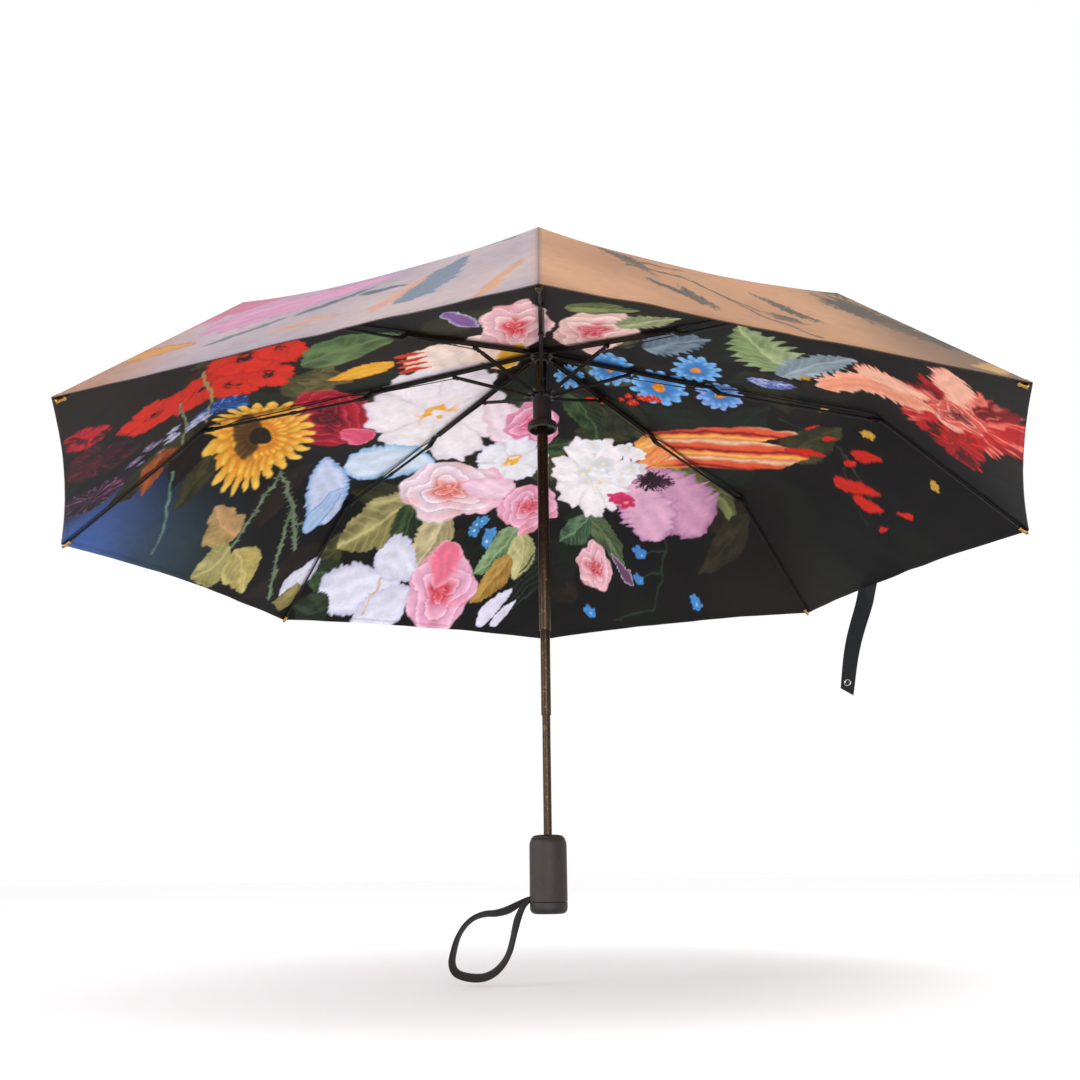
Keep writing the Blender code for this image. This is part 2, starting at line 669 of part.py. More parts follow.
def make_runner():
    ring_bottom = RUNNER_Z - RING_HALF
    neck_bottom = ring_bottom - RUNNER_NECK_HEIGHT
    bell_bottom = neck_bottom - RUNNER_BELL_HEIGHT
    neck_radius = PIVOT_RADIUS
    bell_inner = RUNNER_BELL_RADIUS - RUNNER_BELL_WALL
    flare_top = neck_bottom + 1.25 * RUNNER_FLARE
    profile = [(TUBE_BORE, RUNNER_Z + RING_HALF), *groove_profile(RUNNER_Z)]
    profile += [
        (neck_radius, ring_bottom - RUNNER_STEP),
        (neck_radius, flare_top),
        *arc((neck_radius + RUNNER_FLARE, flare_top), RUNNER_FLARE, 180, 265, 3),
        (RUNNER_BELL_RADIUS, neck_bottom - HUB_CHAMFER / 2),
        (RUNNER_BELL_RADIUS, bell_bottom + 1.25 * HUB_CHAMFER),
        (RUNNER_BELL_RADIUS - HUB_CHAMFER, bell_bottom),
        (bell_inner, bell_bottom),
        (bell_inner, neck_bottom - RUNNER_BELL_WALL),
        (TUBE_BORE, neck_bottom - RUNNER_BELL_WALL + RUNNER_STEP),
    ]
    runner = cut(turned("runner", profile), ring_slots(RUNNER_Z))
    finish("runner", runner, BLACK_NYLON)
    ring_wire("runner_wire", RUNNER_Z)


def tube(name, radius, low, high, steps=20):
    profile = [(radius, high), (radius, low), (radius - TUBE_WALL, low), (radius - TUBE_WALL, high)]
    finish(name, turned(name, profile, steps), BLACK_STEEL)


def coil(name, radius, low, high, turns, wire_radius, steps_per_turn):
    """A helix round the Z axis."""
    count = round(turns * steps_per_turn)
    points = []
    for step in range(count + 1):
        angle = 2 * math.pi * step / steps_per_turn
        height = low + (high - low) * step / count
        points.append((radius * math.cos(angle), radius * math.sin(angle), height))
    return as_mesh(wire(name, points, wire_radius, 0))


def make_shaft():
    tube("lower_tube", LOWER_TUBE_RADIUS, PLUG_TOP + GAP, MIDDLE_TUBE_END + TUBE_OVERLAP)
    tube("middle_tube", MIDDLE_TUBE_RADIUS, MIDDLE_TUBE_END, TOP_TUBE_END + TUBE_OVERLAP)
    tube("top_tube", TOP_TUBE_RADIUS, TOP_TUBE_END, CROWN_Z + RING_HALF)
    spring_radius = LOWER_TUBE_RADIUS - TUBE_WALL - GAP - 1.3 * SPRING_WIRE_RADIUS
    spring = coil(
        "shaft_spring",
        spring_radius,
        PLUG_TOP + SPIGOT_LENGTH + 1.0 * MM,
        MIDDLE_TUBE_END + TUBE_OVERLAP - 6.0 * MM,
        MAIN_SPRING_TURNS,
        SPRING_WIRE_RADIUS,
        7,
    )
    finish("shaft_spring", spring, BRIGHT_STEEL)


def make_finial():
    base = CROWN_Z + CANOPY_RISE + CLOTH_THICKNESS / 2 + 2 * GAP
    stem_radius = TOP_TUBE_RADIUS - TUBE_WALL - GAP
    stem_bottom = CROWN_Z + RING_HALF - FINIAL_STEM
    profile = [(0.0, base + FINIAL_HEIGHT)]
    profile += [
        (FINIAL_RADIUS * math.sin(a), base + FINIAL_HEIGHT * math.cos(a) ** 0.8)
        for a in (math.radians(d) for d in (20, 40, 58, 74))
    ]
    profile += [
        (FINIAL_RADIUS, base + FINIAL_RIM),
        (FINIAL_RADIUS - FINIAL_CHAMFER, base),
        (stem_radius, base),
        (stem_radius, stem_bottom),
        (0.0, stem_bottom),
    ]
    finish("finial_cap", turned("finial_cap", profile), BLACK_NYLON)


# Canopy: one sheet over all the ribs, hollowed a little between them


def cloth_line():
    """The cloth's line above a rib: the crown, the two joints and the tip, as (radius, height)."""
    middle_joint = along(MIDDLE_PIVOT, (INNER_SLOPE + MIDDLE_SLOPE) / 2, 0, SHOULDER_RISE)
    elbow_slope = (MIDDLE_SLOPE + OUTER_SLOPE) / 2
    outer_joint = along(OUTER_PIVOT, elbow_slope, 0, OUTER_ROD_RISE + SHOULDER_RISE)
    tip = along(RIB_TIP, OUTER_SLOPE, 0, SHOULDER_RISE)
    hole = TOP_TUBE_RADIUS
    return [
        (hole, CROWN_Z + CANOPY_RISE),
        (RING_OUTER + 1 * MM, CROWN_Z + CANOPY_RISE - 0.2 * MM),
        middle_joint,
        outer_joint,
        tip,
    ]


CLOTH_LINE = cloth_line()
CLOTH_DIVISIONS = (1, 3, 3, 3)
CLOTH_SAGS = (0.0, 0.0, MIDDLE_SAG, OUTER_SAG, HEM_SAG)


def cloth_rings():
    """(radius, height, sag, hollow) of each ring of the cloth, from the hole to the hem."""
    rings = []
    for part, divisions in enumerate(CLOTH_DIVISIONS):
        for step in range(divisions + (part == len(CLOTH_DIVISIONS) - 1)):
            share = step / divisions
            (r0, z0), (r1, z1) = CLOTH_LINE[part], CLOTH_LINE[part + 1]
            sag = CLOTH_SAGS[part] + (CLOTH_SAGS[part + 1] - CLOTH_SAGS[part]) * share
            hollow = HEM_HOLLOW * share**2 if part == len(CLOTH_DIVISIONS) - 1 else 0.0
            rings.append((r0 + (r1 - r0) * share, z0 + (z1 - z0) * share, sag, hollow))
    return rings


def cloth_point(ring, rib, across):
    """A point of the cloth, at a share across the panel that starts at a rib, counted from 0 at the front."""
    radius, height, sag, hollow = ring
    corners = []
    for corner in (rib, rib + 1):
        azimuth = -math.pi / 2 + 2 * math.pi * corner / RIB_COUNT
        corners.append(Vector((radius * math.cos(azimuth), radius * math.sin(azimuth), height)))
    point = corners[0].lerp(corners[1], across)
    bow = 4 * across * (1 - across)
    inward = Vector((point.x, point.y, 0.0)).normalized()
    slope = OUTER_SLOPE if hollow else 0.0
    pull = hollow * bow
    point -= inward * pull * math.cos(slope)
    point.z += pull * math.sin(slope) - sag * bow
    return point


def make_canopy():
    rings = cloth_rings()
    panel_steps = 4
    shape = bmesh.new()
    rows = []
    for ring in rings:
        rows.append(
            [
                shape.verts.new(cloth_point(ring, rib, step / panel_steps))
                for rib in range(RIB_COUNT)
                for step in range(panel_steps)
            ]
        )
    for inner, outer in zip(rows, rows[1:]):
        for i in range(len(inner)):
            j = (i + 1) % len(inner)
            shape.faces.new((inner[i], outer[i], outer[j], inner[j]))
    canopy = from_bmesh("canopy", shape)
    thicken = canopy.modifiers.new("thickness", "SOLIDIFY")
    thicken.thickness = CLOTH_THICKNESS
    thicken.offset = 0.0
    thicken.use_even_offset = False
    finish("canopy", as_mesh(canopy), DARK_CLOTH)


# Closing strap, hanging from the hem


def strap_top():
    """The place on the hem that the closing strap hangs from."""
    hem = cloth_point(cloth_rings()[-1], STRAP_RIB, STRAP_PLACE)
    return Vector((hem.x, hem.y, hem.z - CLOTH_THICKNESS - GAP))


def strap_pivot():
    """The centre of the strap's round top, which clears the tab however it swings."""
    return strap_top() - Vector((0, 0, STRAP_TAB_LENGTH + GAP + STRAP_WIDTH / 2))


def make_closing_strap():
    half = STRAP_WIDTH / 2
    tab = plate(
        [(-half, 0), (half, 0), (half, -STRAP_TAB_LENGTH), (-half, -STRAP_TAB_LENGTH)],
        -STRAP_THICKNESS / 2,
        STRAP_THICKNESS / 2,
    )
    turn = Matrix.Rotation(STRAP_TURN, 4, "Z")
    tab.data.transform(turn)
    tab.location = strap_top()
    finish("strap_tab", tab, STRAP_CLOTH)
    lean = turn @ Matrix.Rotation(STRAP_LEAN, 4, "Y")
    end = half - STRAP_LENGTH
    strap = plate(
        [*arc((0, 0), half, 0, 180, 8), (-half, end + STRAP_SLANT), (half, end)],
        -STRAP_THICKNESS / 2,
        STRAP_THICKNESS / 2,
    )
    strap.data.transform(lean)
    strap.location = strap_pivot()
    finish("closing_strap", strap, STRAP_CLOTH)
    face = -STRAP_THICKNESS / 2 - GAP
    snap = bar(
        SNAP_RADIUS,
        (0, face - SNAP_THICKNESS, end + SNAP_PLACE),
        (0, face, end + SNAP_PLACE),
        16,
    )
    snap.data.transform(lean)
    snap.location = strap_pivot()
    finish("snap_button", snap, BRIGHT_STEEL)


# Handle


def handle_cutters():
    button_hole = bar(
        BUTTON_RADIUS + GAP,
        (0, SLEEVE_RADIUS + 2 * MM, BUTTON_HEIGHT),
        (0, HANDLE_RADIUS + 5 * MM, BUTTON_HEIGHT),
        24,
    )
    slot_top = WRIST_SLOT_HEIGHT + WRIST_CORD_RADIUS + 2 * GAP
    wrist_slot = box(
        (-HANDLE_RADIUS - 5 * MM, -WRIST_SLOT_HALF, END_CAP_HEIGHT - 2 * MM),
        (-HANDLE_RADIUS + 2 * HANDLE_WALL, WRIST_SLOT_HALF, slot_top),
    )
    return [button_hole, wrist_slot]


def make_handle():
    inner = HANDLE_RADIUS - HANDLE_WALL
    straight_top = HANDLE_HEIGHT - SHOULDER_HEIGHT
    mouth = TUBE_BORE + MOUTH_CLEARANCE
    neck = mouth + MOUTH_RIM
    shell_bottom = END_CAP_HEIGHT + GAP
    shoulder = [
        (HANDLE_RADIUS, straight_top),
        *((HANDLE_RADIUS - inset, straight_top + share * SHOULDER_HEIGHT) for inset, share in SHOULDER_CURVE),
        (neck, HANDLE_HEIGHT),
    ]
    profile = [(mouth, HANDLE_HEIGHT), *reversed(shoulder)]
    profile += [
        (HANDLE_RADIUS, shell_bottom),
        (inner, shell_bottom),
        (inner, straight_top),
        (inner - 3.0 * MM, straight_top + 0.5 * SHOULDER_HEIGHT),
        (mouth, HANDLE_HEIGHT - HANDLE_WALL - 1.0 * MM),
    ]
    shell = cut(turned("handle_shell", profile, 32), handle_cutters())
    finish("handle_shell", shell, SOFT_GRIP)

    plug_radius = inner - GAP
    spigot_radius = LOWER_TUBE_RADIUS - TUBE_WALL - GAP
    round_centre = (HANDLE_RADIUS - END_CAP_ROUND, END_CAP_ROUND)
    profile = [
        (0.0, PLUG_TOP + SPIGOT_LENGTH),
        (spigot_radius, PLUG_TOP + SPIGOT_LENGTH),
        (spigot_radius, PLUG_TOP),
        (plug_radius, PLUG_TOP),
        (plug_radius, END_CAP_HEIGHT),
        (HANDLE_RADIUS, END_CAP_HEIGHT),
        *arc(round_centre, END_CAP_ROUND, 0, -90, 4),
        (0.0, 0.0),
    ]
    cap = turned("handle_end_cap", profile, 32)
    relief = box(
        (-HANDLE_RADIUS - 1 * MM, -WRIST_SLOT_HALF, END_CAP_HEIGHT - 0.1 * MM),
        (-inner + 4.0 * MM, WRIST_SLOT_HALF, PLUG_TOP + 1 * MM),
    )
    finish("handle_end_cap", cut(cap, [relief]), SOFT_GRIP)

    sleeve_top = HANDLE_HEIGHT - HANDLE_WALL - SLEEVE_DROP
    sleeve_bottom = PLUG_TOP + GAP
    profile = [
        (SLEEVE_RADIUS, sleeve_top),
        (SLEEVE_RADIUS, sleeve_bottom),
        (TUBE_BORE, sleeve_bottom),
        (TUBE_BORE, sleeve_top),
    ]
    finish("handle_sleeve", turned("handle_sleeve", profile, 24), BLACK_NYLON)


def make_button():
    """A domed button that slides in towards the shaft, with a flange inside the shell and a spring."""
    flange_radius = BUTTON_RADIUS + BUTTON_FLANGE
    wall_inner = HANDLE_RADIUS - HANDLE_WALL
    flange_top = math.sqrt(wall_inner**2 - flange_radius**2) - 2 * GAP
    flange_bottom = flange_top - BUTTON_FLANGE
    face = HANDLE_RADIUS + BUTTON_PROUD
    profile = [
        (0.0, face),
        *((share * BUTTON_RADIUS, face - drop) for share, drop in BUTTON_DOME),
        (BUTTON_RADIUS, flange_top),
        (flange_radius, flange_top),
        (flange_radius, flange_bottom),
        (0.0, flange_bottom),
    ]
    to_plus_y = Matrix.Rotation(-math.pi / 2, 4, "X")
    button = turned("push_button", profile, 24)
    button.data.transform(to_plus_y)
    button.location = (0, 0, BUTTON_HEIGHT)
    finish("push_button", button, BLACK_NYLON)
    spring = coil(
        "button_spring",
        0.55 * BUTTON_RADIUS,
        SLEEVE_RADIUS + GAP + SPRING_WIRE_RADIUS,
        flange_bottom - GAP - SPRING_WIRE_RADIUS,
        BUTTON_SPRING_TURNS,
        SPRING_WIRE_RADIUS,
        8,
    )
    spring.data.transform(to_plus_y)
    spring.location = (0, 0, BUTTON_HEIGHT)
    finish("button_spring", spring, BRIGHT_STEEL)


def smooth_route(points, spacing):
    """Points at even spacing along a Catmull-Rom curve through the route's own points."""
    route = [Vector(p) for p in points]
    ends = [2 * route[0] - route[1], *route, 2 * route[-1] - route[-2]]
    fine = []
    for p0, p1, p2, p3 in zip(ends, ends[1:], ends[2:], ends[3:]):
        for step in range(8):
            t = step / 8
            fine.append(
                0.5
                * (
                    2 * p1
                    + (p2 - p0) * t
                    + (2 * p0 - 5 * p1 + 4 * p2 - p3) * t**2
                    + (3 * p1 - p0 - 3 * p2 + p3) * t**3
                )
            )
    fine.append(route[-1])
    total = sum((b - a).length for a, b in zip(fine, fine[1:]))
    count = round(total / spacing)
    even, walked, wanted = [fine[0]], 0.0, total / count
    for a, b in zip(fine, fine[1:]):
        step = (b - a).length
        while walked + step >= wanted * len(even) and len(even) < count:
            even.append(a.lerp(b, (wanted * len(even) - walked) / step))
        walked += step
    return [*even, fine[-1]]


def make_wrist_strap():
    route = [(x * MM, y * MM, z * MM) for x, y, z in WRIST_ROUTE]
    strap = wire("wrist_strap", smooth_route(route, 7.0 * MM), WRIST_CORD_RADIUS, 2)
    finish("wrist_strap", strap, STRAP_CLOTH)


make_shaft()
make_handle()
make_button()
make_wrist_strap()
make_crown()
make_runner()
make_finial()
make_ribs()
make_canopy()
make_closing_strap()
bpy.context.view_layer.update()
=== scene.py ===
import json
import math

import bpy
import numpy as np
from mathutils import Matrix, Vector


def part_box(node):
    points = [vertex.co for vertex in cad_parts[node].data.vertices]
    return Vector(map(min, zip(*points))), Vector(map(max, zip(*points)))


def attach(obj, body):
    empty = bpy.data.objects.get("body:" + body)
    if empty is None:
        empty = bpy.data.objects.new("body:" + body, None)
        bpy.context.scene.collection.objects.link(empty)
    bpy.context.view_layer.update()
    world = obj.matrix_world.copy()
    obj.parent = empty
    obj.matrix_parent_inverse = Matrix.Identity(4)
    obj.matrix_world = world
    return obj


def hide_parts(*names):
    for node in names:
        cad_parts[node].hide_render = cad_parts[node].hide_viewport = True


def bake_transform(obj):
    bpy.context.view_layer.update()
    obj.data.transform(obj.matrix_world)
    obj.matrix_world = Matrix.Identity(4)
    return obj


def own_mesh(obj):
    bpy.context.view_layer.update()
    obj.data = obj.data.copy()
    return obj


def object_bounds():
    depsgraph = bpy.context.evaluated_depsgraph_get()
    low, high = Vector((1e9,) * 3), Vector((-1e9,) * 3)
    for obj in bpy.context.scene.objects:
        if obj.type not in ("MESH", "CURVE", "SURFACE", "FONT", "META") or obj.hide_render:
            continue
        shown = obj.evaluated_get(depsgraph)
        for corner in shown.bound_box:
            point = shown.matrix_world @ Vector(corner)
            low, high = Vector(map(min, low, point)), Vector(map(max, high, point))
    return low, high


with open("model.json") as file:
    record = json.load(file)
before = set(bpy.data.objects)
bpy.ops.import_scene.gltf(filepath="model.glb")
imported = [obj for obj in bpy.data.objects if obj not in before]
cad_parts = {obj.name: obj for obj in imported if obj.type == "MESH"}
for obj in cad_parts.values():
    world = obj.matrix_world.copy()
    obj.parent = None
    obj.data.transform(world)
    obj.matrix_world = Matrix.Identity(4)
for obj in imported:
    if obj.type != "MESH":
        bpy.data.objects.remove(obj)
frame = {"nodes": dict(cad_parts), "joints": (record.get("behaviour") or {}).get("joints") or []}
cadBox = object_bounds()
nodes = frame["nodes"]
joints = {joint["name"]: joint for joint in frame["joints"]}
mm = 0.001
ribCount = 8
print("frame loaded:", len(nodes), "nodes")


# Helpers for grids, noise and meshes


def rgb(red, green, blue):  # a screen colour from 0 to 255, as a linear one
    return (np.array([red, green, blue]) / 255.0) ** 2.2


def azimuthOf(rib):  # rib 0 points to the front, -Y, and the count runs to +X
    return -math.pi / 2 + 2 * math.pi * rib / ribCount


def softStep(value, low, high):  # 0 below low, 1 above high, smooth between
    share = np.clip((value - low) / (high - low), 0.0, 1.0)
    return share * share * (3 - 2 * share)


def softNoise(x, y, size, seed):
    # Heights drawn for the corners of a square lattice, blended smoothly inside each square, 0 to 1
    table = np.random.default_rng(seed).random((64, 64))
    u, v = x / size, y / size
    column, row = np.floor(u).astype(int), np.floor(v).astype(int)
    fu, fv = u - column, v - row
    fu, fv = fu * fu * (3 - 2 * fu), fv * fv * (3 - 2 * fv)
    column, row, right, above = column % 64, row % 64, (column + 1) % 64, (row + 1) % 64
    low = table[column, row] * (1 - fu) + table[right, row] * fu
    high = table[column, above] * (1 - fu) + table[right, above] * fu
    return low * (1 - fv) + high * fv


def blendColours(first, second, share):
    return first + (second - first) * np.asarray(share)[..., None]


def gridFaces(rows, columns, start=0, closed=False):
    # Quads between neighbouring points of a grid stored row by row
    row = np.arange(rows - 1)[:, None]
    column = np.arange(columns if closed else columns - 1)[None, :]
    following = (column + 1) % columns
    corners = [
        row * columns + column,
        row * columns + following,
        (row + 1) * columns + following,
        (row + 1) * columns + column,
    ]
    return np.stack(np.broadcast_arrays(*corners), axis=-1).reshape(-1, 4) + start


def gridRim(rows, columns):
    # The points round a grid's edge, in order, and the point after each
    index = np.arange(rows * columns).reshape(rows, columns)
    rim = np.concatenate([index[0, :-1], index[:-1, -1], index[-1, :0:-1], index[:0:-1, 0]])
    return rim, np.roll(rim, -1)


def cappedRings(rings):
    # Rings (along, around, 3) with one more at each end, all its points at that ring's middle
    ends = [np.repeat(rings[[end]].mean(axis=1, keepdims=True), rings.shape[1], axis=1) for end in (0, -1)]
    return np.concatenate([ends[0], rings, ends[1]])


def meshPiece(name, points, faces, materials, faceMaterial=None, normals=None):
    # Whole arrays go straight into the mesh: points (n, 3) and quads (m, 4)
    mesh = bpy.data.meshes.new(name)
    mesh.vertices.add(len(points))
    mesh.vertices.foreach_set("co", np.ascontiguousarray(points, np.float32).ravel())
    mesh.loops.add(faces.size)
    mesh.loops.foreach_set("vertex_index", np.ascontiguousarray(faces, np.int32).ravel())
    mesh.polygons.add(len(faces))
    mesh.polygons.foreach_set("loop_start", np.arange(0, faces.size, 4, dtype=np.int32))
    if faceMaterial is not None:
        mesh.polygons.foreach_set("material_index", faceMaterial.astype(np.int32))
    mesh.update(calc_edges=True)
    for material in materials:
        mesh.materials.append(material)
    mesh.shade_smooth()
    if normals is not None:
        mesh.normals_split_custom_set_from_vertices(normals.tolist())
    piece = bpy.data.objects.new(name, mesh)
    bpy.context.scene.collection.objects.link(piece)
    return piece


def turnedSurface(profile, sides, place=(0.0, 0.0, 0.0), axis=(0.0, 0.0, 1.0)):
    # A profile of (radius, height) pairs carried round an axis, closed where it starts and ends on it
    radius, height = np.array(profile).T
    angle = np.linspace(0, 2 * math.pi, sides, endpoint=False)
    up = np.array(axis) / np.linalg.norm(axis)
    side = np.cross(up, (0.0, 1.0, 0.0) if abs(up[1]) < 0.9 else (1.0, 0.0, 0.0))
    side /= np.linalg.norm(side)
    other = np.cross(up, side)
    ring = np.cos(angle)[:, None] * side + np.sin(angle)[:, None] * other
    points = np.array(place) + radius[:, None, None] * ring + height[:, None, None] * up
    return points.reshape(-1, 3), gridFaces(len(profile), sides, closed=True)


def roundedProfile(corners, radii, steps=5):
    # A line of (radius, height) corners, each rounded with a short quadratic curve
    corners = np.array(corners, float)
    line = [corners[0]]
    for before, corner, after, bend in zip(corners, corners[1:], corners[2:], radii):
        inward, outward = before - corner, after - corner
        first = corner + inward / np.linalg.norm(inward) * bend
        last = corner + outward / np.linalg.norm(outward) * bend
        for share in np.linspace(0, 1, steps):
            line.append((1 - share) ** 2 * first + 2 * share * (1 - share) * corner + share**2 * last)
    line.append(corners[-1])
    return np.array(line)


def sweptTube(path, radius, sides=10):
    # A round bar along a path: rings square to its direction, drawn to a point at both ends
    path = np.array(path, float)
    direction = np.gradient(path, axis=0)
    direction /= np.linalg.norm(direction, axis=1)[:, None]
    helper = np.array((0.0, 0.0, 1.0)) if abs(direction[0][2]) < 0.8 else np.array((1.0, 0.0, 0.0))
    side = np.cross(direction, helper)
    side /= np.linalg.norm(side, axis=1)[:, None]
    other = np.cross(direction, side)
    angle = np.linspace(0, 2 * math.pi, sides, endpoint=False)
    rings = path[:, None] + np.broadcast_to(radius, len(path))[:, None, None] * (
        np.cos(angle)[None, :, None] * side[:, None] + np.sin(angle)[None, :, None] * other[:, None]
    )
    first = np.repeat(path[:1], sides, axis=0)[None]
    last = np.repeat(path[-1:], sides, axis=0)[None]
    points = np.concatenate([first, rings, last]).reshape(-1, 3)
    return points, gridFaces(len(path) + 2, sides, closed=True)


def setUv(piece, flat):
    # Flat places in metres, one for each point, as the UV map that the weave reads
    mesh = piece.data
    layer = mesh.uv_layers.new(name="cloth")
    corner = np.empty(len(mesh.loops), np.int32)
    mesh.loops.foreach_get("vertex_index", corner)
    layer.data.foreach_set("uv", flat[corner].astype(np.float32).ravel())


def setPrint(piece, colours):
    # One colour for each point, as the layer that the cloth finishes read
    shades = np.ones((len(colours), 4), np.float32)
    shades[:, :3] = np.clip(colours, 0.0, 1.0)
    layer = piece.data.color_attributes.new("print", "FLOAT_COLOR", "POINT")
    layer.data.foreach_set("color", shades.ravel())


def applyModifiers(piece):
    graph = bpy.context.evaluated_depsgraph_get()
    made = bpy.data.meshes.new_from_object(piece.evaluated_get(graph))
    old = piece.data
    piece.modifiers.clear()
    piece.data = made
    made.name = old.name
    bpy.data.meshes.remove(old)


def joined(parts):
    # Several (points, faces) pairs as one
    points, faces, count = [], [], 0
    for some, quads in parts:
        points.append(some)
        faces.append(quads + count)
        count += len(some)
    return np.concatenate(points), np.concatenate(faces)


# Camera, backdrop and lights

cameraView = {
    "place": (0.0021, -1.0385, 0.0327),
    "pitch": 17.31,
    "yaw": 0.33,
    "roll": -0.71,
    "lens": 35.98,
}
stage = {"floorDrop": 0.006, "floorHalf": 30.0, "shade": 0.97, "roughness": 0.9}
lights = (  # name, place, what it looks at, size, power and colour
    ("frontFill", (0.15, -2.2, 0.25), (0.0, 0.0, 0.4), 1.6, 34.0, (1.0, 0.985, 0.96)),
    ("leftSoft", (-1.9, -0.9, 0.7), (0.0, 0.0, 0.4), 1.4, 22.0, (0.93, 0.96, 1.0)),
    ("topSoft", (0.6, -0.8, 2.2), (0.0, 0.0, 0.5), 1.5, 20.0, (1.0, 1.0, 1.0)),
)


def makeCamera(view):
    lens = bpy.data.cameras.new("camera")
    lens.lens = view["lens"]
    lens.clip_end = 100.0
    camera = bpy.data.objects.new("camera", lens)
    turn = Matrix.Rotation(math.radians(view["yaw"]), 4, "Z")
    turn @= Matrix.Rotation(math.radians(90 + view["pitch"]), 4, "X")
    turn @= Matrix.Rotation(math.radians(view["roll"]), 4, "Z")
    camera.matrix_world = Matrix.Translation(view["place"]) @ turn
    bpy.context.scene.collection.objects.link(camera)
    bpy.context.scene.camera = camera


def areaLight(name, place, target, size, power, colour):
    lamp = bpy.data.lights.new(name, "AREA")
    lamp.shape = "DISK"
    lamp.size = size
    lamp.energy = power
    lamp.color = colour
    light = bpy.data.objects.new(name, lamp)
    light.location = place
    aim = Vector(place) - Vector(target)
    light.rotation_euler = aim.to_track_quat("Z", "Y").to_euler()
    light.visible_camera = False
    bpy.context.scene.collection.objects.link(light)


def makeStage():
    scene = bpy.context.scene
    scene.view_settings.view_transform = "Standard"
    world = bpy.data.worlds.new("studio")
    world.use_nodes = True
    sky = world.node_tree.nodes["Background"]
    sky.inputs["Color"].default_value = (1.0, 1.0, 1.0, 1.0)
    sky.inputs["Strength"].default_value = 1.0
    scene.world = world
    height = cadBox[0][2] - stage["floorDrop"]
    half = stage["floorHalf"]
    points = np.array([(x * half, y * half, height) for x, y in ((-1, -1), (1, -1), (1, 1), (-1, 1))])
    pale = bpy.data.materials.new("floor")
    pale.use_nodes = True
    shader = pale.node_tree.nodes["Principled BSDF"]
    shader.inputs["Base Color"].default_value = (*[stage["shade"]] * 3, 1.0)
    shader.inputs["Roughness"].default_value = stage["roughness"]
    meshPiece("floor", points, np.array([[0, 1, 2, 3]]), [pale])
    for light in lights:
        areaLight(*light)


makeCamera(cameraView)
makeStage()
print("camera and stage ready")


# Shader groups shared by the finishes


def newGroup(name, inputs, outputs):
    group = bpy.data.node_groups.new(name, "ShaderNodeTree")
    for label, kind, value in inputs:
        socket = group.interface.new_socket(label, in_out="INPUT", socket_type=kind)
        socket.default_value = value
    for label, kind in outputs:
        group.interface.new_socket(label, in_out="OUTPUT", socket_type=kind)
    return group, group.nodes.new("NodeGroupInput"), group.nodes.new("NodeGroupOutput")


def addNode(tree, kind, values=(), **settings):
    node = tree.nodes.new(kind)
    for key, value in settings.items():
        setattr(node, key, value)
    for key, value in dict(values).items():
        node.inputs[key].default_value = value
    return node


def wire(tree, *pairs):
    # Each pair joins one node's output to another's input
    for source, output, target, place in pairs:
        tree.links.new(source.outputs[output], target.inputs[place])


def makeBrushGroup():
    # Varies a colour in patches of two sizes, lighter and darker than it is
    group, come, go = newGroup(
        "paintBrush",
        [
            ("Color", "NodeSocketColor", (0.5, 0.5, 0.5, 1.0)),
            ("Size", "NodeSocketFloat", 60.0),
            ("Strength", "NodeSocketFloat", 0.2),
        ],
        [("Color", "NodeSocketColor")],
    )
    place = addNode(group, "ShaderNodeTexCoord")
    broad = addNode(group, "ShaderNodeTexNoise", {"Detail": 6.0, "Roughness": 0.65, "Distortion": 0.6})
    centred = addNode(group, "ShaderNodeMath", {1: 0.5}, operation="SUBTRACT")
    scaled = addNode(group, "ShaderNodeMath", operation="MULTIPLY")
    lifted = addNode(group, "ShaderNodeMath", {1: 1.0}, operation="ADD")
    tinted = addNode(group, "ShaderNodeVectorMath", operation="SCALE")
    wire(
        group,
        (place, "Object", broad, "Vector"),
        (come, "Size", broad, "Scale"),
        (broad, "Fac", centred, 0),
        (centred, 0, scaled, 0),
        (come, "Strength", scaled, 1),
        (scaled, 0, lifted, 0),
        (come, "Color", tinted, 0),
        (lifted, 0, tinted, "Scale"),
        (tinted, 0, go, "Color"),
    )
    return group


def makeWeaveGroup():
    # Crossed threads as a height from two sets of bands, on the piece's own UV map in metres
    group, come, go = newGroup(
        "clothWeave",
        [("Threads", "NodeSocketFloat", 900.0), ("Unevenness", "NodeSocketFloat", 0.4)],
        [("Height", "NodeSocketFloat")],
    )
    place = addNode(group, "ShaderNodeUVMap", uv_map="cloth")
    warp = addNode(group, "ShaderNodeTexWave", {"Distortion": 0.4}, bands_direction="X")
    weft = addNode(group, "ShaderNodeTexWave", {"Distortion": 0.4}, bands_direction="Y")
    crossed = addNode(group, "ShaderNodeMath", operation="MAXIMUM")
    slubs = addNode(group, "ShaderNodeTexNoise", {"Scale": 300.0, "Detail": 4.0})
    weighed = addNode(group, "ShaderNodeMath", operation="MULTIPLY")
    total = addNode(group, "ShaderNodeMath", operation="ADD")
    for bands in (warp, weft):
        wire(group, (place, "UV", bands, "Vector"), (come, "Threads", bands, "Scale"))
    wire(
        group,
        (place, "UV", slubs, "Vector"),
        (warp, "Fac", crossed, 0),
        (weft, "Fac", crossed, 1),
        (slubs, "Fac", weighed, 0),
        (come, "Unevenness", weighed, 1),
        (crossed, 0, total, 0),
        (weighed, 0, total, 1),
        (total, 0, go, "Height"),
    )
    return group


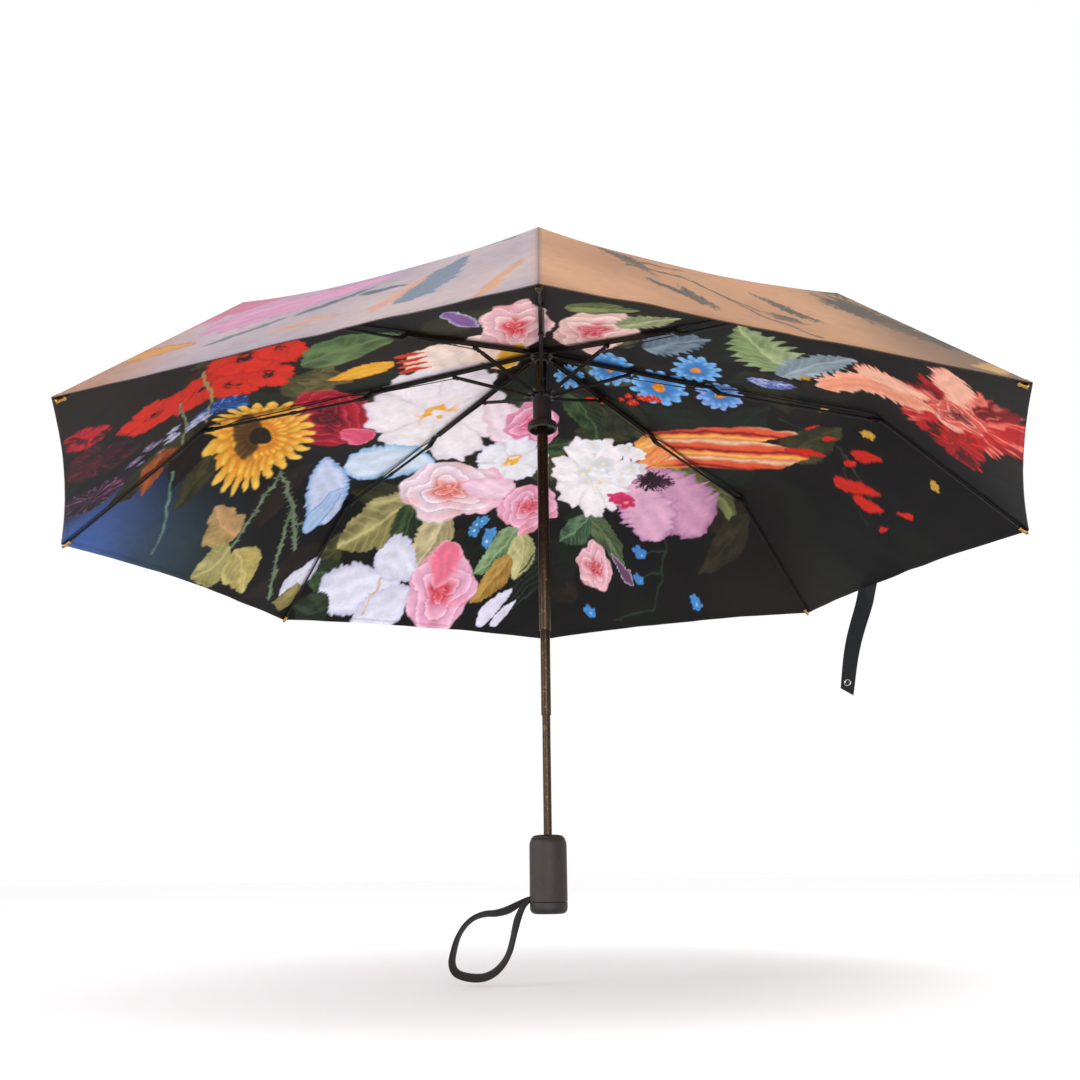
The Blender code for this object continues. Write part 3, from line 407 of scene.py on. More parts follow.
def makeWearAndGlintGroup():
    # Fine grain, cloudy patches and sparse scuffs on Object coordinates; on the shaft the scuff colour is a
    # painted gold highlight
    group, come, go = newGroup(
        "surfaceWearAndGlint",
        [
            ("Color", "NodeSocketColor", (0.05, 0.05, 0.05, 1.0)),
            ("Worn And Glint Color", "NodeSocketColor", (0.2, 0.2, 0.2, 1.0)),
            ("Wear", "NodeSocketFloat", 0.2),
            ("Roughness", "NodeSocketFloat", 0.5),
            ("Grain Size", "NodeSocketFloat", 2500.0),
        ],
        [("Color", "NodeSocketColor"), ("Roughness", "NodeSocketFloat"), ("Height", "NodeSocketFloat")],
    )
    place = addNode(group, "ShaderNodeTexCoord")
    grain = addNode(group, "ShaderNodeTexNoise", {"Detail": 2.0})
    clouds = addNode(group, "ShaderNodeTexNoise", {"Scale": 70.0, "Detail": 5.0, "Distortion": 0.8})
    scuffs = addNode(group, "ShaderNodeTexNoise", {"Scale": 260.0, "Detail": 3.0, "Distortion": 1.5})
    sparse = addNode(group, "ShaderNodeMapRange", {"From Min": 0.58, "From Max": 0.75})
    amount = addNode(group, "ShaderNodeMath", operation="MULTIPLY")
    mixed = addNode(group, "ShaderNodeMix", data_type="RGBA")
    uneven = addNode(group, "ShaderNodeMapRange", {"To Min": -0.08, "To Max": 0.12})
    rough = addNode(group, "ShaderNodeMath", operation="ADD", use_clamp=True)
    for texture in (grain, clouds, scuffs):
        wire(group, (place, "Object", texture, "Vector"))
    wire(
        group,
        (come, "Grain Size", grain, "Scale"),
        (scuffs, "Fac", sparse, "Value"),
        (sparse, "Result", amount, 0),
        (come, "Wear", amount, 1),
        (amount, 0, mixed, "Factor"),
        (come, "Color", mixed, 6),
        (come, "Worn And Glint Color", mixed, 7),
        (clouds, "Fac", uneven, "Value"),
        (come, "Roughness", rough, 0),
        (uneven, "Result", rough, 1),
        (mixed, 2, go, "Color"),
        (rough, 0, go, "Roughness"),
        (grain, "Fac", go, "Height"),
    )
    return group


brushGroup, weaveGroup, wearAndGlintGroup = makeBrushGroup(), makeWeaveGroup(), makeWearAndGlintGroup()


def newFinish(name, constants):
    made = bpy.data.materials.new(name)
    made.use_nodes = True
    shader = made.node_tree.nodes["Principled BSDF"]
    for key, value in constants.items():
        shader.inputs[key].default_value = value
    return made, made.node_tree, shader


def useGroup(tree, group, values):
    # The group has to be in the node before its inputs take values
    node = addNode(tree, "ShaderNodeGroup", node_tree=group)
    for key, value in values.items():
        node.inputs[key].default_value = value
    return node


def bumpFrom(tree, source, shader, strength, distance):
    bump = addNode(tree, "ShaderNodeBump", {"Strength": strength, "Distance": distance})
    wire(tree, (source, "Height", bump, "Height"), (bump, "Normal", shader, "Normal"))


def clothFinish(name, roughness, sheen, bump):
    made, tree, shader = newFinish(
        name,
        {
            "Roughness": roughness,
            "Sheen Weight": sheen,
            "Sheen Roughness": 0.4,
            "Specular IOR Level": 0.22,
        },
    )
    printed = addNode(tree, "ShaderNodeVertexColor", layer_name="print")
    brush = useGroup(tree, brushGroup, {"Size": 75.0, "Strength": 0.55})
    weave = useGroup(tree, weaveGroup, {"Threads": 620.0, "Unevenness": 0.8})
    wire(tree, (printed, "Color", brush, "Color"), (brush, "Color", shader, "Base Color"))
    bumpFrom(tree, weave, shader, bump, 0.0002)
    return made


def ribbonFinish(name, colour, threads):
    made, tree, shader = newFinish(
        name, {"Roughness": 0.78, "Sheen Weight": 0.12, "Specular IOR Level": 0.3}
    )
    brush = useGroup(tree, brushGroup, {"Color": (*colour, 1.0), "Size": 220.0, "Strength": 0.8})
    weave = useGroup(tree, weaveGroup, {"Threads": threads, "Unevenness": 0.5})
    wire(tree, (brush, "Color", shader, "Base Color"))
    bumpFrom(tree, weave, shader, 0.5, 0.0003)
    return made


def wornAndGlintFinish(name, colour, wornAndGlint, wear, roughness, metallic, bump=0.15, grain=2500.0):
    made, tree, shader = newFinish(name, {"Metallic": metallic})
    values = {"Wear": wear, "Roughness": roughness, "Grain Size": grain}
    values.update({"Color": (*colour, 1.0), "Worn And Glint Color": (*wornAndGlint, 1.0)})
    surface = useGroup(tree, wearAndGlintGroup, values)
    wire(tree, (surface, "Color", shader, "Base Color"), (surface, "Roughness", shader, "Roughness"))
    bumpFrom(tree, surface, shader, bump, 0.0001)
    return made


outsideCloth = clothFinish("canopyOutside", 0.60, 0.04, 0.40)
insideCloth = clothFinish("canopyInside", 0.66, 0.0, 0.40)
strapRibbon = ribbonFinish("blackRibbon", rgb(26, 30, 34), 900.0)
wristRibbonFinish = ribbonFinish("wristRibbon", rgb(30, 28, 28), 1100.0)
# The shaft's warm brown colour and its gold scuffs are painted highlights, standing in for warm light
# reflected on black tubes
shaftSteelPaintedGlint = wornAndGlintFinish("shaftSteelPaintedGlint", rgb(58, 48, 38), rgb(150, 112, 66), 0.5, 0.30, 0.85, bump=0.05)
ribSteel = wornAndGlintFinish("ribSteel", rgb(38, 34, 32), rgb(92, 82, 74), 0.45, 0.42, 0.55, bump=0.1)
rodSteel = wornAndGlintFinish("rodSteel", rgb(24, 22, 22), rgb(70, 64, 60), 0.35, 0.5, 0.4, bump=0.1)
brightWire = wornAndGlintFinish("brightWire", rgb(170, 168, 162), rgb(110, 104, 96), 0.5, 0.28, 1.0)
brassFinish = wornAndGlintFinish("brass", rgb(176, 132, 70), rgb(98, 70, 40), 0.6, 0.32, 1.0)
hubNylon = wornAndGlintFinish("hubNylon", rgb(30, 28, 28), rgb(62, 58, 56), 0.3, 0.46, 0.0, bump=0.2)
rubber = {"wear": 0.35, "metallic": 0.0, "bump": 0.3, "grain": 3200.0}
gripRubber = wornAndGlintFinish("gripRubber", rgb(36, 27, 23), rgb(62, 50, 43), roughness=0.58, **rubber)
capRubber = wornAndGlintFinish("capRubber", rgb(24, 18, 16), rgb(48, 40, 35), roughness=0.52, **rubber)
buttonNylon = wornAndGlintFinish("buttonNylon", rgb(40, 37, 36), rgb(80, 74, 70), 0.4, 0.36, 0.0)
print("finishes ready")


# The print, laid out in millimetres on the plan of the open canopy


class Painter:
    # Colours for a set of plan points; each shape covers what lies under it
    def __init__(self, x, y, ground):
        self.x, self.y, self.colours = x, y, ground
        self.edgeX = x + 5.0 * (softNoise(x, y, 13, 1) - 0.5) + 2.4 * (softNoise(x, y, 5, 2) - 0.5)
        self.edgeY = y + 5.0 * (softNoise(x, y, 13, 3) - 0.5) + 2.4 * (softNoise(x, y, 5, 4) - 0.5)
        self.fleck = softNoise(x, y, 7, 5)

    def frameOf(self, place, half, turn=0.0, reach=1.35):
        # Places as shares of the half sizes, along and across, of the points within reach
        dx, dy = self.edgeX - place[0], self.edgeY - place[1]
        near = np.flatnonzero((np.abs(dx) < reach * max(half)) & (np.abs(dy) < reach * max(half)))
        dx, dy = dx[near], dy[near]
        c, s = math.cos(math.radians(turn)), math.sin(math.radians(turn))
        return near, (dx * c + dy * s) / half[0], (dy * c - dx * s) / half[1]

    def roundOf(self, place, half, turn=0.0):
        # The same with the distance and angle from the middle
        near, u, v = self.frameOf(place, half, turn)
        return near, u, v, np.hypot(u, v), np.arctan2(v, u)

    def lay(self, near, colour, cover):
        self.colours[near] = blendColours(self.colours[near], colour, cover)


def spanOf(base, tip):  # the middle, half length and turn in degrees of a line
    middle = ((base[0] + tip[0]) / 2, (base[1] + tip[1]) / 2)
    turn = math.degrees(math.atan2(tip[1] - base[1], tip[0] - base[0]))
    return middle, math.dist(base, tip) / 2, turn


def paintRose(art, place, half, petal, lip, heart, turn=0.0, layers=4.5, seed=0):
    # Petals are bands of a spiral: darker where one tucks under the next, lighter along its lip
    near, u, v, rho, theta = art.roundOf(place, half, turn)
    edge = 0.94 + 0.055 * np.cos(5 * theta + seed) + 0.03 * np.cos(9 * theta + 2 * seed)
    sway = 0.5 * np.sin(3 * theta + seed) + 0.3 * np.sin(5 * theta - 1.7 * seed) * rho
    level = rho * layers + theta / (2 * math.pi) + sway
    band = level - np.floor(level)
    crease = np.exp(-((band / 0.13) ** 2)) * softStep(rho, 1.15, 0.25) * 0.75
    light = 0.80 + 0.26 * band**1.6 - 0.30 * crease + 0.10 * (art.fleck[near] - 0.5)
    deep = softStep(rho + 0.16 * np.sin(5 * theta + seed) * rho, 0.52, 0.16)
    tone = blendColours(petal, lip, softStep(band, 0.62, 1.0) * 0.7)
    tone = blendColours(tone, heart, deep * (0.62 + 0.38 * (1 - band)))
    flush = softStep(softNoise(u * 40 + 9 * seed, v * 40, 17, 8), 0.62, 0.85) * 0.25
    tone = blendColours(tone, heart, flush)
    art.lay(near, tone * light[:, None], softStep(edge - rho, 0.0, 0.05))


def paintDaisy(art, place, half, petal, tip, heart, count=18, rings=3, turn=0.0, seed=0):
    # Rings of narrow petals, the widest ring first, each petal lighter down its middle
    near, u, v, rho, theta = art.roundOf(place, half, turn)
    for ring in range(rings):
        outer = 1.0 - 0.24 * ring
        swing = theta + seed + ring * math.pi / count + 0.05 * np.sin(3 * theta + ring)
        blade = np.abs(np.cos(count * swing / 2))
        reach = outer * (0.66 + 0.34 * blade**0.6)
        light = 0.62 + 0.46 * blade * softStep(rho, 0.0, outer) + 0.12 * (art.fleck[near] - 0.5)
        tone = blendColours(petal, tip, softStep(rho / outer, 0.55, 1.0))
        art.lay(near, tone * light[:, None], softStep(reach - rho, 0.0, 0.06))
    dots = softNoise(u * 50, v * 50, 4, 6 + seed)
    middle = heart * (0.55 + 0.8 * dots)[:, None]
    art.lay(near, middle, softStep(0.23 - rho, 0.0, 0.05))


def paintBlossom(art, place, half, petal, rim, stamen, turn=0.0, count=6, seed=0):
    # A few broad ruffled petals: soft folds run out from the centre, stamens lie round it
    near, u, v, rho, theta = art.roundOf(place, half, turn)
    lobe = np.abs(np.cos(count * theta / 2 + seed))
    edge = 0.80 + 0.17 * lobe**0.5 + 0.035 * np.sin(17 * theta + seed) + 0.02 * np.sin(31 * theta)
    folds = np.sin(3 * count * theta / 2 + 2.2 * np.sin(2 * theta + seed) + 3 * rho)
    between = np.exp(-((lobe / 0.16) ** 2)) * softStep(rho, 0.1, 0.5)
    light = 0.97 + 0.04 * folds * softStep(rho, 0.1, 0.8) - 0.17 * between
    shade = softStep(softNoise(u * 30 + seed, v * 30, 16, 9), 0.5, 0.9) * 0.45
    tone = blendColours(petal, rim, shade)
    tone = blendColours(tone, rim, softStep(rho - edge, -0.16, 0.0) * 0.75)
    art.lay(near, tone * light[:, None], softStep(edge - rho, 0.0, 0.04))
    spots = softNoise(u * 60, v * 60, 6, 10 + seed)
    dust = softStep(spots, 0.55, 0.7) * softStep(0.26 - np.abs(rho - 0.10), 0.0, 0.2)
    art.lay(near, stamen, dust)


def paintLeaf(art, base, tip, width, colour, pale, teeth=14, tooth=0.10, seed=0):
    # A pointed blade from base to tip with a midrib, slanted side veins and one half lighter
    middle, long, turn = spanOf(base, tip)
    near, u, v = art.frameOf(middle, (long, width / 2), turn, 1.5)
    along = (u + 1) / 2
    bend = v + 0.25 * np.sin(math.pi * np.clip(along, 0, 1)) - 0.12
    inside = np.clip(along, 0.0, 1.0)
    saw = 1 + tooth * (2 * np.abs((inside * teeth + 0.5 * np.sign(bend)) % 1 - 0.5) - 0.5)
    reach = np.sin(math.pi * inside**0.72) ** 0.8 * saw
    slant = (along - 0.32 * np.abs(bend)) * 8.0
    vein = np.exp(-(((slant - np.round(slant)) / 0.11) ** 2)) * 0.55
    midrib = np.exp(-((bend / 0.06) ** 2))
    half = softStep(bend, -0.1, 0.1) * 0.55
    mottle = softNoise(u * 30, v * 30 + seed * 7, 9, 11)
    light = 0.72 + 0.55 * mottle + 0.18 * (art.fleck[near] - 0.5)
    tone = blendColours(colour, pale, half * mottle + 0.15)
    tone = blendColours(tone * light[:, None], pale * 1.1, np.maximum(vein * 0.6, midrib * 0.8))
    art.lay(near, tone, softStep(reach - np.abs(bend), 0.0, 0.08))


def paintTulip(art, base, tip, width, colours, seed=0):
    # A flame-striped cup: the stripes run from base to tip and the mouth splits into pointed petals
    middle, long, turn = spanOf(base, tip)
    near, u, v = art.frameOf(middle, (long, width / 2), turn, 1.4)
    along = np.clip((u + 1) / 2, 0, 1)
    belly = 0.34 + 0.66 * np.sin(math.pi * np.clip(along * 0.80 + 0.08, 0, 1)) ** 0.8
    spread = v / belly
    mouth = 0.76 + 0.24 * np.abs(np.sin(2.4 * spread + 0.8))
    wave = spread * 7.5 + 1.3 * np.sin(3.2 * along + seed) + 0.8 * softNoise(u * 30, v * 30, 14, 12)
    place = (wave / (2 * math.pi)) % 1.0
    tone = colours[0]
    for number, colour in enumerate(colours[1:]):
        centre = 0.22 + 0.26 * number
        tone = blendColours(tone, colour, np.exp(-(((place - centre) / 0.10) ** 2)))
    tone = blendColours(tone, colours[2], softStep(along, 0.22, 0.0) * 0.7)
    light = 0.86 + 0.22 * np.cos(spread * 1.2) * art.fleck[near] + 0.1 * np.sin(place * 2 * math.pi)
    inside = np.minimum(1.0 - np.abs(spread), (mouth - along) * 4.0)
    inside = np.minimum(inside, (u + 1.0) * 6.0)
    art.lay(near, tone * light[:, None], softStep(inside, 0.0, 0.08))


def paintFeather(art, place, half, colours, turn=0.0, fray=0.22, seed=0):
    # A loose shaggy head: streaks run out from the centre and the edge frays into points
    near, u, v, rho, theta = art.roundOf(place, half, turn)
    points = softNoise(theta * 30 + 200, rho * 6, 1.5, 13 + seed)
    edge = 0.98 - fray * points - 0.08 * np.sin(3 * theta + seed)
    streak = softNoise(theta * 26 + 100, rho * 10, 2.2, 14 + seed)
    broad = softNoise(u * 20 + 50, v * 20, 9, 15 + seed)
    tone = blendColours(colours[0], colours[1], softStep(broad, 0.35, 0.75))
    tone = blendColours(tone, colours[2], softStep(streak, 0.55, 0.9) * 0.7)
    light = 0.72 + 0.5 * streak
    art.lay(near, tone * light[:, None], softStep(edge - rho, 0.0, 0.06))


def paintPetal(art, base, tip, width, colour, edge, seed=0, ragged=0.05):
    # One broad petal, narrow at its base, with a soft edge colour and faint length lines
    middle, long, turn = spanOf(base, tip)
    near, u, v = art.frameOf(middle, (long, width / 2), turn, 1.4)
    along = np.clip((u + 1) / 2, 0, 1)
    reach = np.sqrt(np.clip(1 - u**2, 0, 1)) * (0.50 + 0.50 * along)
    reach *= 1 + ragged * (softNoise(u * 30 + 90, np.sign(v) * 9, 1.6, 16 + seed) - 0.5) * 4
    inside = reach - np.abs(v)
    lines = 0.06 * np.sin(v * 13 + 2 * np.sin(3 * u + seed))
    tone = blendColours(colour, edge, softStep(inside, 0.30, 0.0) * 0.75)
    light = 0.95 + lines + 0.16 * (softNoise(u * 20, v * 20, 9, 17 + seed) - 0.5)
    art.lay(near, tone * light[:, None], softStep(inside, 0.0, 0.07))


def paintStem(art, line, width, colour, thorn=0.0):
    # Everything within half the width of a broken line; thorns widen it at even steps
    line = np.array(line, float)
    for first, last in zip(line, line[1:]):
        span = last - first
        length = np.hypot(*span)
        middle = (first + last) / 2
        dx, dy = art.edgeX - middle[0], art.edgeY - middle[1]
        reach = length / 2 + width + thorn
        near = np.flatnonzero((np.abs(dx) < reach) & (np.abs(dy) < reach))
        dx, dy = dx[near], dy[near]
        forward = (dx * span[0] + dy * span[1]) / length
        aside = (dy * span[0] - dx * span[1]) / length
        spur = thorn * np.clip(1 - 4 * ((forward / 9.0) % 1.0), 0, 1)
        beyond = np.maximum(np.abs(forward) - length / 2, 0.0)
        away = np.hypot(beyond, np.maximum(np.abs(aside) - spur, 0.0))
        light = 0.75 + 0.5 * art.fleck[near]
        art.lay(near, colour * light[:, None], softStep(away, width * 0.75, width * 0.35))


def paintCluster(art, place, half, count, size, petal, heart, seed=0):
    # Many small five-petalled flowers scattered over an ellipse
    draw = np.random.default_rng(seed)
    for _ in range(count):
        far, angle = math.sqrt(draw.random()), 2 * math.pi * draw.random()
        centre = (place[0] + half[0] * far * math.cos(angle), place[1] + half[1] * far * math.sin(angle))
        radius = size * (0.8 + 0.4 * draw.random())
        near, _, _, rho, theta = art.roundOf(centre, (radius, radius), 72 * draw.random())
        edge = 0.62 + 0.36 * np.abs(np.cos(2.5 * theta))
        light = (0.80 + 0.25 * draw.random()) * (0.82 + 0.2 * rho)
        art.lay(near, petal * light[:, None], softStep(edge - rho, 0.0, 0.12))
        art.lay(near, heart, softStep(0.24 - rho, 0.0, 0.1))


white, cream, lilac = rgb(242, 240, 247), rgb(250, 226, 214), rgb(214, 214, 240)
paleBlue, skyBlue, deepBlue = rgb(150, 200, 240), rgb(72, 140, 214), rgb(32, 70, 140)
rosePink, palePink, hotPink = rgb(240, 150, 186), rgb(250, 208, 222), rgb(226, 52, 110)
scarlet, crimson, maroon = rgb(216, 44, 24), rgb(176, 26, 48), rgb(96, 14, 30)
orange, gold, yellow = rgb(236, 138, 30), rgb(240, 176, 52), rgb(238, 200, 86)
leafGreen, darkGreen = rgb(82, 112, 66), rgb(38, 50, 36)
olive, straw = rgb(84, 84, 50), rgb(196, 186, 128)
slate, greyRose = rgb(112, 124, 140), rgb(186, 164, 164)


def insideGround(x, y):
    # Near black with brown and green clouds, and cool light towards the left edge
    clouds = softNoise(x, y, 90, 20)
    moss = softNoise(x, y, 60, 21)
    ground = blendColours(rgb(22, 17, 20), rgb(46, 37, 33), softStep(clouds, 0.35, 0.9))
    ground = blendColours(ground, rgb(30, 40, 30), softStep(moss, 0.6, 0.95) * 0.6)
    cool = softStep(np.hypot(x + 500, (y - 30) * 0.9), 150, 20)
    ground = blendColours(ground, rgb(72, 104, 176), cool * 0.8)
    cool = softStep(np.hypot(x + 420, (y - 110) * 0.8), 110, 10)
    return blendColours(ground, rgb(60, 82, 92), cool * 0.75)


def paintInside(x, y):
    art = Painter(x, y, insideGround(x, y))
    # dark foliage behind the bunch
    draw = np.random.default_rng(7)
    tones = (darkGreen, olive, rgb(58, 44, 34))
    for number in range(64):
        far, angle = 40 + 330 * math.sqrt(draw.random()), 2 * math.pi * draw.random()
        base = (-70 + far * math.cos(angle), 110 + 0.95 * far * math.sin(angle))
        turn, long = 2 * math.pi * draw.random(), 50 + 60 * draw.random()
        tip = (base[0] + long * math.cos(turn), base[1] + long * math.sin(turn))
        tone = tones[number % 3] * (0.35 + 0.5 * draw.random())
        paintLeaf(art, base, tip, long * 0.55, tone, tone * 1.8, seed=number)
    behind = (
        ((-250, -20), (-205, -95), 60, olive, rgb(110, 100, 56), 14),
        ((60, 80), (125, 135), 64, darkGreen, olive, 14),
        ((30, 60), (70, 150), 40, darkGreen, leafGreen, 14),
        ((-140, 20), (-225, 10), 46, darkGreen, olive, 14),
        ((-300, 300), (-262, 352), 44, darkGreen, leafGreen, 20),
        ((-40, 120), (-10, 60), 44, darkGreen, leafGreen, 14),
        ((-10, 180), (40, 150), 34, darkGreen, leafGreen, 14),
        # long ones on the right, without teeth
        ((140, 170), (262, 292), 34, olive, rgb(120, 130, 80), 0),
        ((262, 262), (205, 345), 36, rgb(58, 54, 40), rgb(72, 66, 46), 0),
    )
    for number, leaf in enumerate(behind):
        paintLeaf(art, *leaf, seed=number + 1)
    stems = (
        ([(150, 255), (160, 330), (150, 400), (95, 430)], 2.4, rgb(50, 70, 52)),
        ([(160, 330), (126, 342)], 2.0, rgb(50, 70, 52)),
        ([(158, 352), (126, 373)], 2.0, rgb(50, 70, 52)),
        ([(255, 40), (330, 70), (378, 112)], 2.2, rgb(64, 66, 52)),
        ([(330, 70), (345, 110), (372, 140)], 2.0, rgb(56, 56, 44)),
    )
    for stem in stems:
        paintStem(art, *stem)
    for place in ((126, 342), (126, 373), (203, 376), (60, 432)):
        paintCluster(art, place, (3, 3), 3, 8, skyBlue, rgb(150, 200, 235), seed=int(abs(place[0])))
    # scarlet poppies and dark iris, upper left
    poppies = (
        ((-315, -128), (30, 44)), ((-296, -98), (28, 40)), ((-262, -100), (26, 36)),
        ((-272, -150), (34, 42)), ((-238, -150), (26, 34)), ((-345, -160), (26, 38)),
    )
    poppyTones = (scarlet, rgb(160, 20, 22), rgb(60, 20, 30))
    for place, half in poppies:
        paintBlossom(art, place, half, *poppyTones, seed=place[0] % 5, count=5)
    paintFeather(art, (-322, -48), (34, 30), (deepBlue, rgb(24, 34, 80), skyBlue), turn=10, seed=1)
    paintStem(art, [(-300, -170), (-318, -90), (-345, -20)], 2.0, rgb(150, 140, 90))
    paintStem(art, [(-330, -140), (-350, -60), (-372, -8)], 2.0, rgb(120, 130, 100))
    paintCluster(art, (-352, -52), (14, 30), 7, 8, rgb(170, 176, 210), white, seed=31)
    paintCluster(art, (-385, -70), (12, 34), 6, 7, rgb(120, 110, 140), rgb(200, 190, 200), seed=32)
    paintFeather(art, (-392, -150), (26, 60), (maroon, rgb(58, 24, 44), rgb(120, 40, 60)), seed=2)
    paintFeather(art, (-372, -225), (16, 34), (crimson, maroon, scarlet), seed=3)
    plum = (rgb(84, 34, 62), rgb(50, 24, 44), rgb(150, 90, 130))
    paintFeather(art, (-430, -70), (26, 50), plum, seed=4)
    paintLeaf(art, (-378, -40), (-418, 20), 34, rgb(130, 62, 34), rgb(176, 96, 50), teeth=18, seed=10)
    paintStem(art, [(-390, 20), (-412, 70), (-430, 92)], 2.2, rgb(96, 128, 116))
    # top leaf, lemon and small red trumpets
    paintLeaf(art, (-232, -108), (-130, -128), 62, leafGreen, rgb(112, 126, 84), teeth=0, seed=11)
    paintLeaf(art, (-240, -75), (-190, -40), 40, olive, rgb(120, 104, 60), teeth=10, seed=12)
    paintPetal(art, (-214, -55), (-148, -62), 46, gold, orange, seed=1)
    # deep red rose and sunflower
    paintRose(art, (-230, 34), (46, 72), crimson, rgb(214, 60, 88), maroon, turn=-8, layers=4, seed=1)
    paintPetal(art, (-222, 66), (-196, 100), 44, rgb(224, 84, 118), rgb(240, 140, 160), seed=2)
    sunflower = (orange, yellow, rgb(52, 34, 20))
    paintDaisy(art, (-306, 42), (60, 80), *sunflower, count=24, rings=4, turn=12, seed=1)
    near, _, _, rho, _ = art.roundOf((-318, 34), (15, 42), 12)
    art.lay(near, rgb(58, 42, 22), softStep(1 - rho, 0.0, 0.15) * 0.85)
    # thorny stems and three yellow leaves, lower left
    paintLeaf(art, (-352, 38), (-402, 62), 30, rgb(72, 66, 40), olive, teeth=8, seed=13)
    thorny = (
        [(-300, 118), (-303, 200), (-312, 250)],
        [(-302, 122), (-340, 150), (-366, 170)],
        [(-303, 185), (-335, 247), (-352, 292)],
        [(-303, 205), (-288, 240)],
    )
    for line in thorny:
        paintStem(art, line, 3.4, rgb(104, 124, 96), thorn=3.4)
    yellowLeaves = (
        ((-362, 160), (-370, 98), 42, rgb(150, 136, 82), rgb(206, 150, 110)),
        ((-368, 172), (-412, 168), 56, rgb(140, 134, 82), rgb(190, 180, 120)),
        ((-364, 178), (-368, 248), 44, rgb(164, 148, 84), rgb(204, 188, 120)),
    )
    for number, leaf in enumerate(yellowLeaves):
        paintLeaf(art, *leaf, teeth=12, tooth=0.06, seed=14 + number)
    # broad white and pale petals round the crown
    paintPetal(art, (-70, 30), (-122, -78), 84, cream, rgb(244, 212, 190), seed=3)
    paintPetal(art, (-40, 20), (-62, -88), 70, rgb(252, 222, 204), cream, seed=4)
    pearl = (rgb(246, 238, 242), rgb(232, 216, 232), gold)
    paintBlossom(art, (-118, 74), (82, 108), *pearl, turn=-6, count=6, seed=2)
    paintPetal(art, (-60, 70), (-20, 160), 74, rgb(250, 228, 238), palePink, seed=5)
    paintRose(art, (-12, 126), (34, 44), rosePink, palePink, hotPink, layers=3, seed=2)
    paintBlossom(art, (-38, 190), (48, 48), white, lilac, gold, count=5, seed=3)
    # pale petals with blue edges
    paintPetal(art, (-132, 178), (-236, 148), 112, rgb(214, 228, 246), rgb(92, 176, 234), seed=6)
    paintPetal(art, (-250, 118), (-272, 250), 66, rgb(206, 214, 242), rgb(96, 160, 226), seed=7)
    paintPetal(art, (-238, 205), (-300, 236), 40, rgb(176, 204, 240), skyBlue, seed=8)
    # big roses, centre left
    paintLeaf(art, (-150, 255), (-268, 292), 66, rgb(112, 104, 60), straw, teeth=18, seed=17)
    paintLeaf(art, (-160, 262), (-214, 350), 46, darkGreen, leafGreen, teeth=14, seed=18)
    paintLeaf(art, (-122, 290), (-186, 352), 52, rgb(150, 138, 96), rgb(214, 202, 160), teeth=14, seed=19)
    paintPetal(art, (-60, 200), (-98, 300), 96, palePink, rosePink, seed=9)
    bigRose = (rgb(250, 220, 232), white, rgb(236, 104, 78))
    paintRose(art, (-120, 240), (66, 66), *bigRose, turn=8, layers=3.6, seed=3)
    paintPetal(art, (-100, 226), (-40, 262), 76, rgb(250, 214, 230), rosePink, seed=10)
    paintRose(art, (-20, 300), (42, 56), rgb(248, 176, 206), palePink, rgb(228, 66, 82), layers=4, seed=4)
    paintCluster(art, (-82, 330), (18, 20), 12, 8, rgb(78, 150, 214), rgb(210, 226, 240), seed=33)
    # bud leaves, ochre leaf, ferns and white trumpets
    paintLeaf(art, (-34, 342), (-98, 376), 36, leafGreen, rgb(150, 176, 134), teeth=12, seed=20)
    paintLeaf(art, (-28, 350), (-40, 402), 42, rgb(150, 150, 96), rgb(206, 200, 148), teeth=12, seed=21)
    paintLeaf(art, (-46, 372), (-104, 408), 34, rgb(140, 104, 44), rgb(196, 156, 84), teeth=12, seed=22)
    for offset in range(6):
        paintStem(art, [(-6, 372 + 9 * offset), (-34 - 4 * offset, 392 + 9 * offset)], 1.9, rgb(58, 72, 60))
    paintPetal(art, (-46, 408), (-98, 436), 26, rgb(226, 222, 242), lilac, seed=11)
    paintPetal(art, (-40, 424), (-78, 446), 18, rgb(226, 222, 242), lilac, seed=12)
    # pink rose and broad white petals at the hem
    hemPetals = (
        ((-196, 352), (-300, 330), 74), ((-180, 360), (-262, 392), 70),
        ((-170, 350), (-214, 306), 66), ((-290, 296), (-340, 300), 44),
    )
    for base, tip, width in hemPetals:
        paintPetal(art, base, tip, width, rgb(226, 226, 244), rgb(190, 186, 220), seed=-tip[0] % 7)
    paintStem(art, [(-246, 372), (-216, 340)], 1.8, rgb(214, 180, 160))
    paintLeaf(art, (-286, 352), (-334, 338), 46, darkGreen, rgb(70, 86, 66), teeth=18, seed=23)
    paintLeaf(art, (-318, 318), (-352, 304), 30, rgb(122, 112, 66), rgb(160, 146, 90), teeth=10, seed=24)
    paintRose(art, (-142, 378), (50, 50), rgb(246, 180, 212), palePink, rgb(226, 54, 74), layers=3.2, seed=5)
    paintPetal(art, (-150, 372), (-120, 328), 60, rgb(240, 120, 150), rgb(248, 190, 206), seed=13)
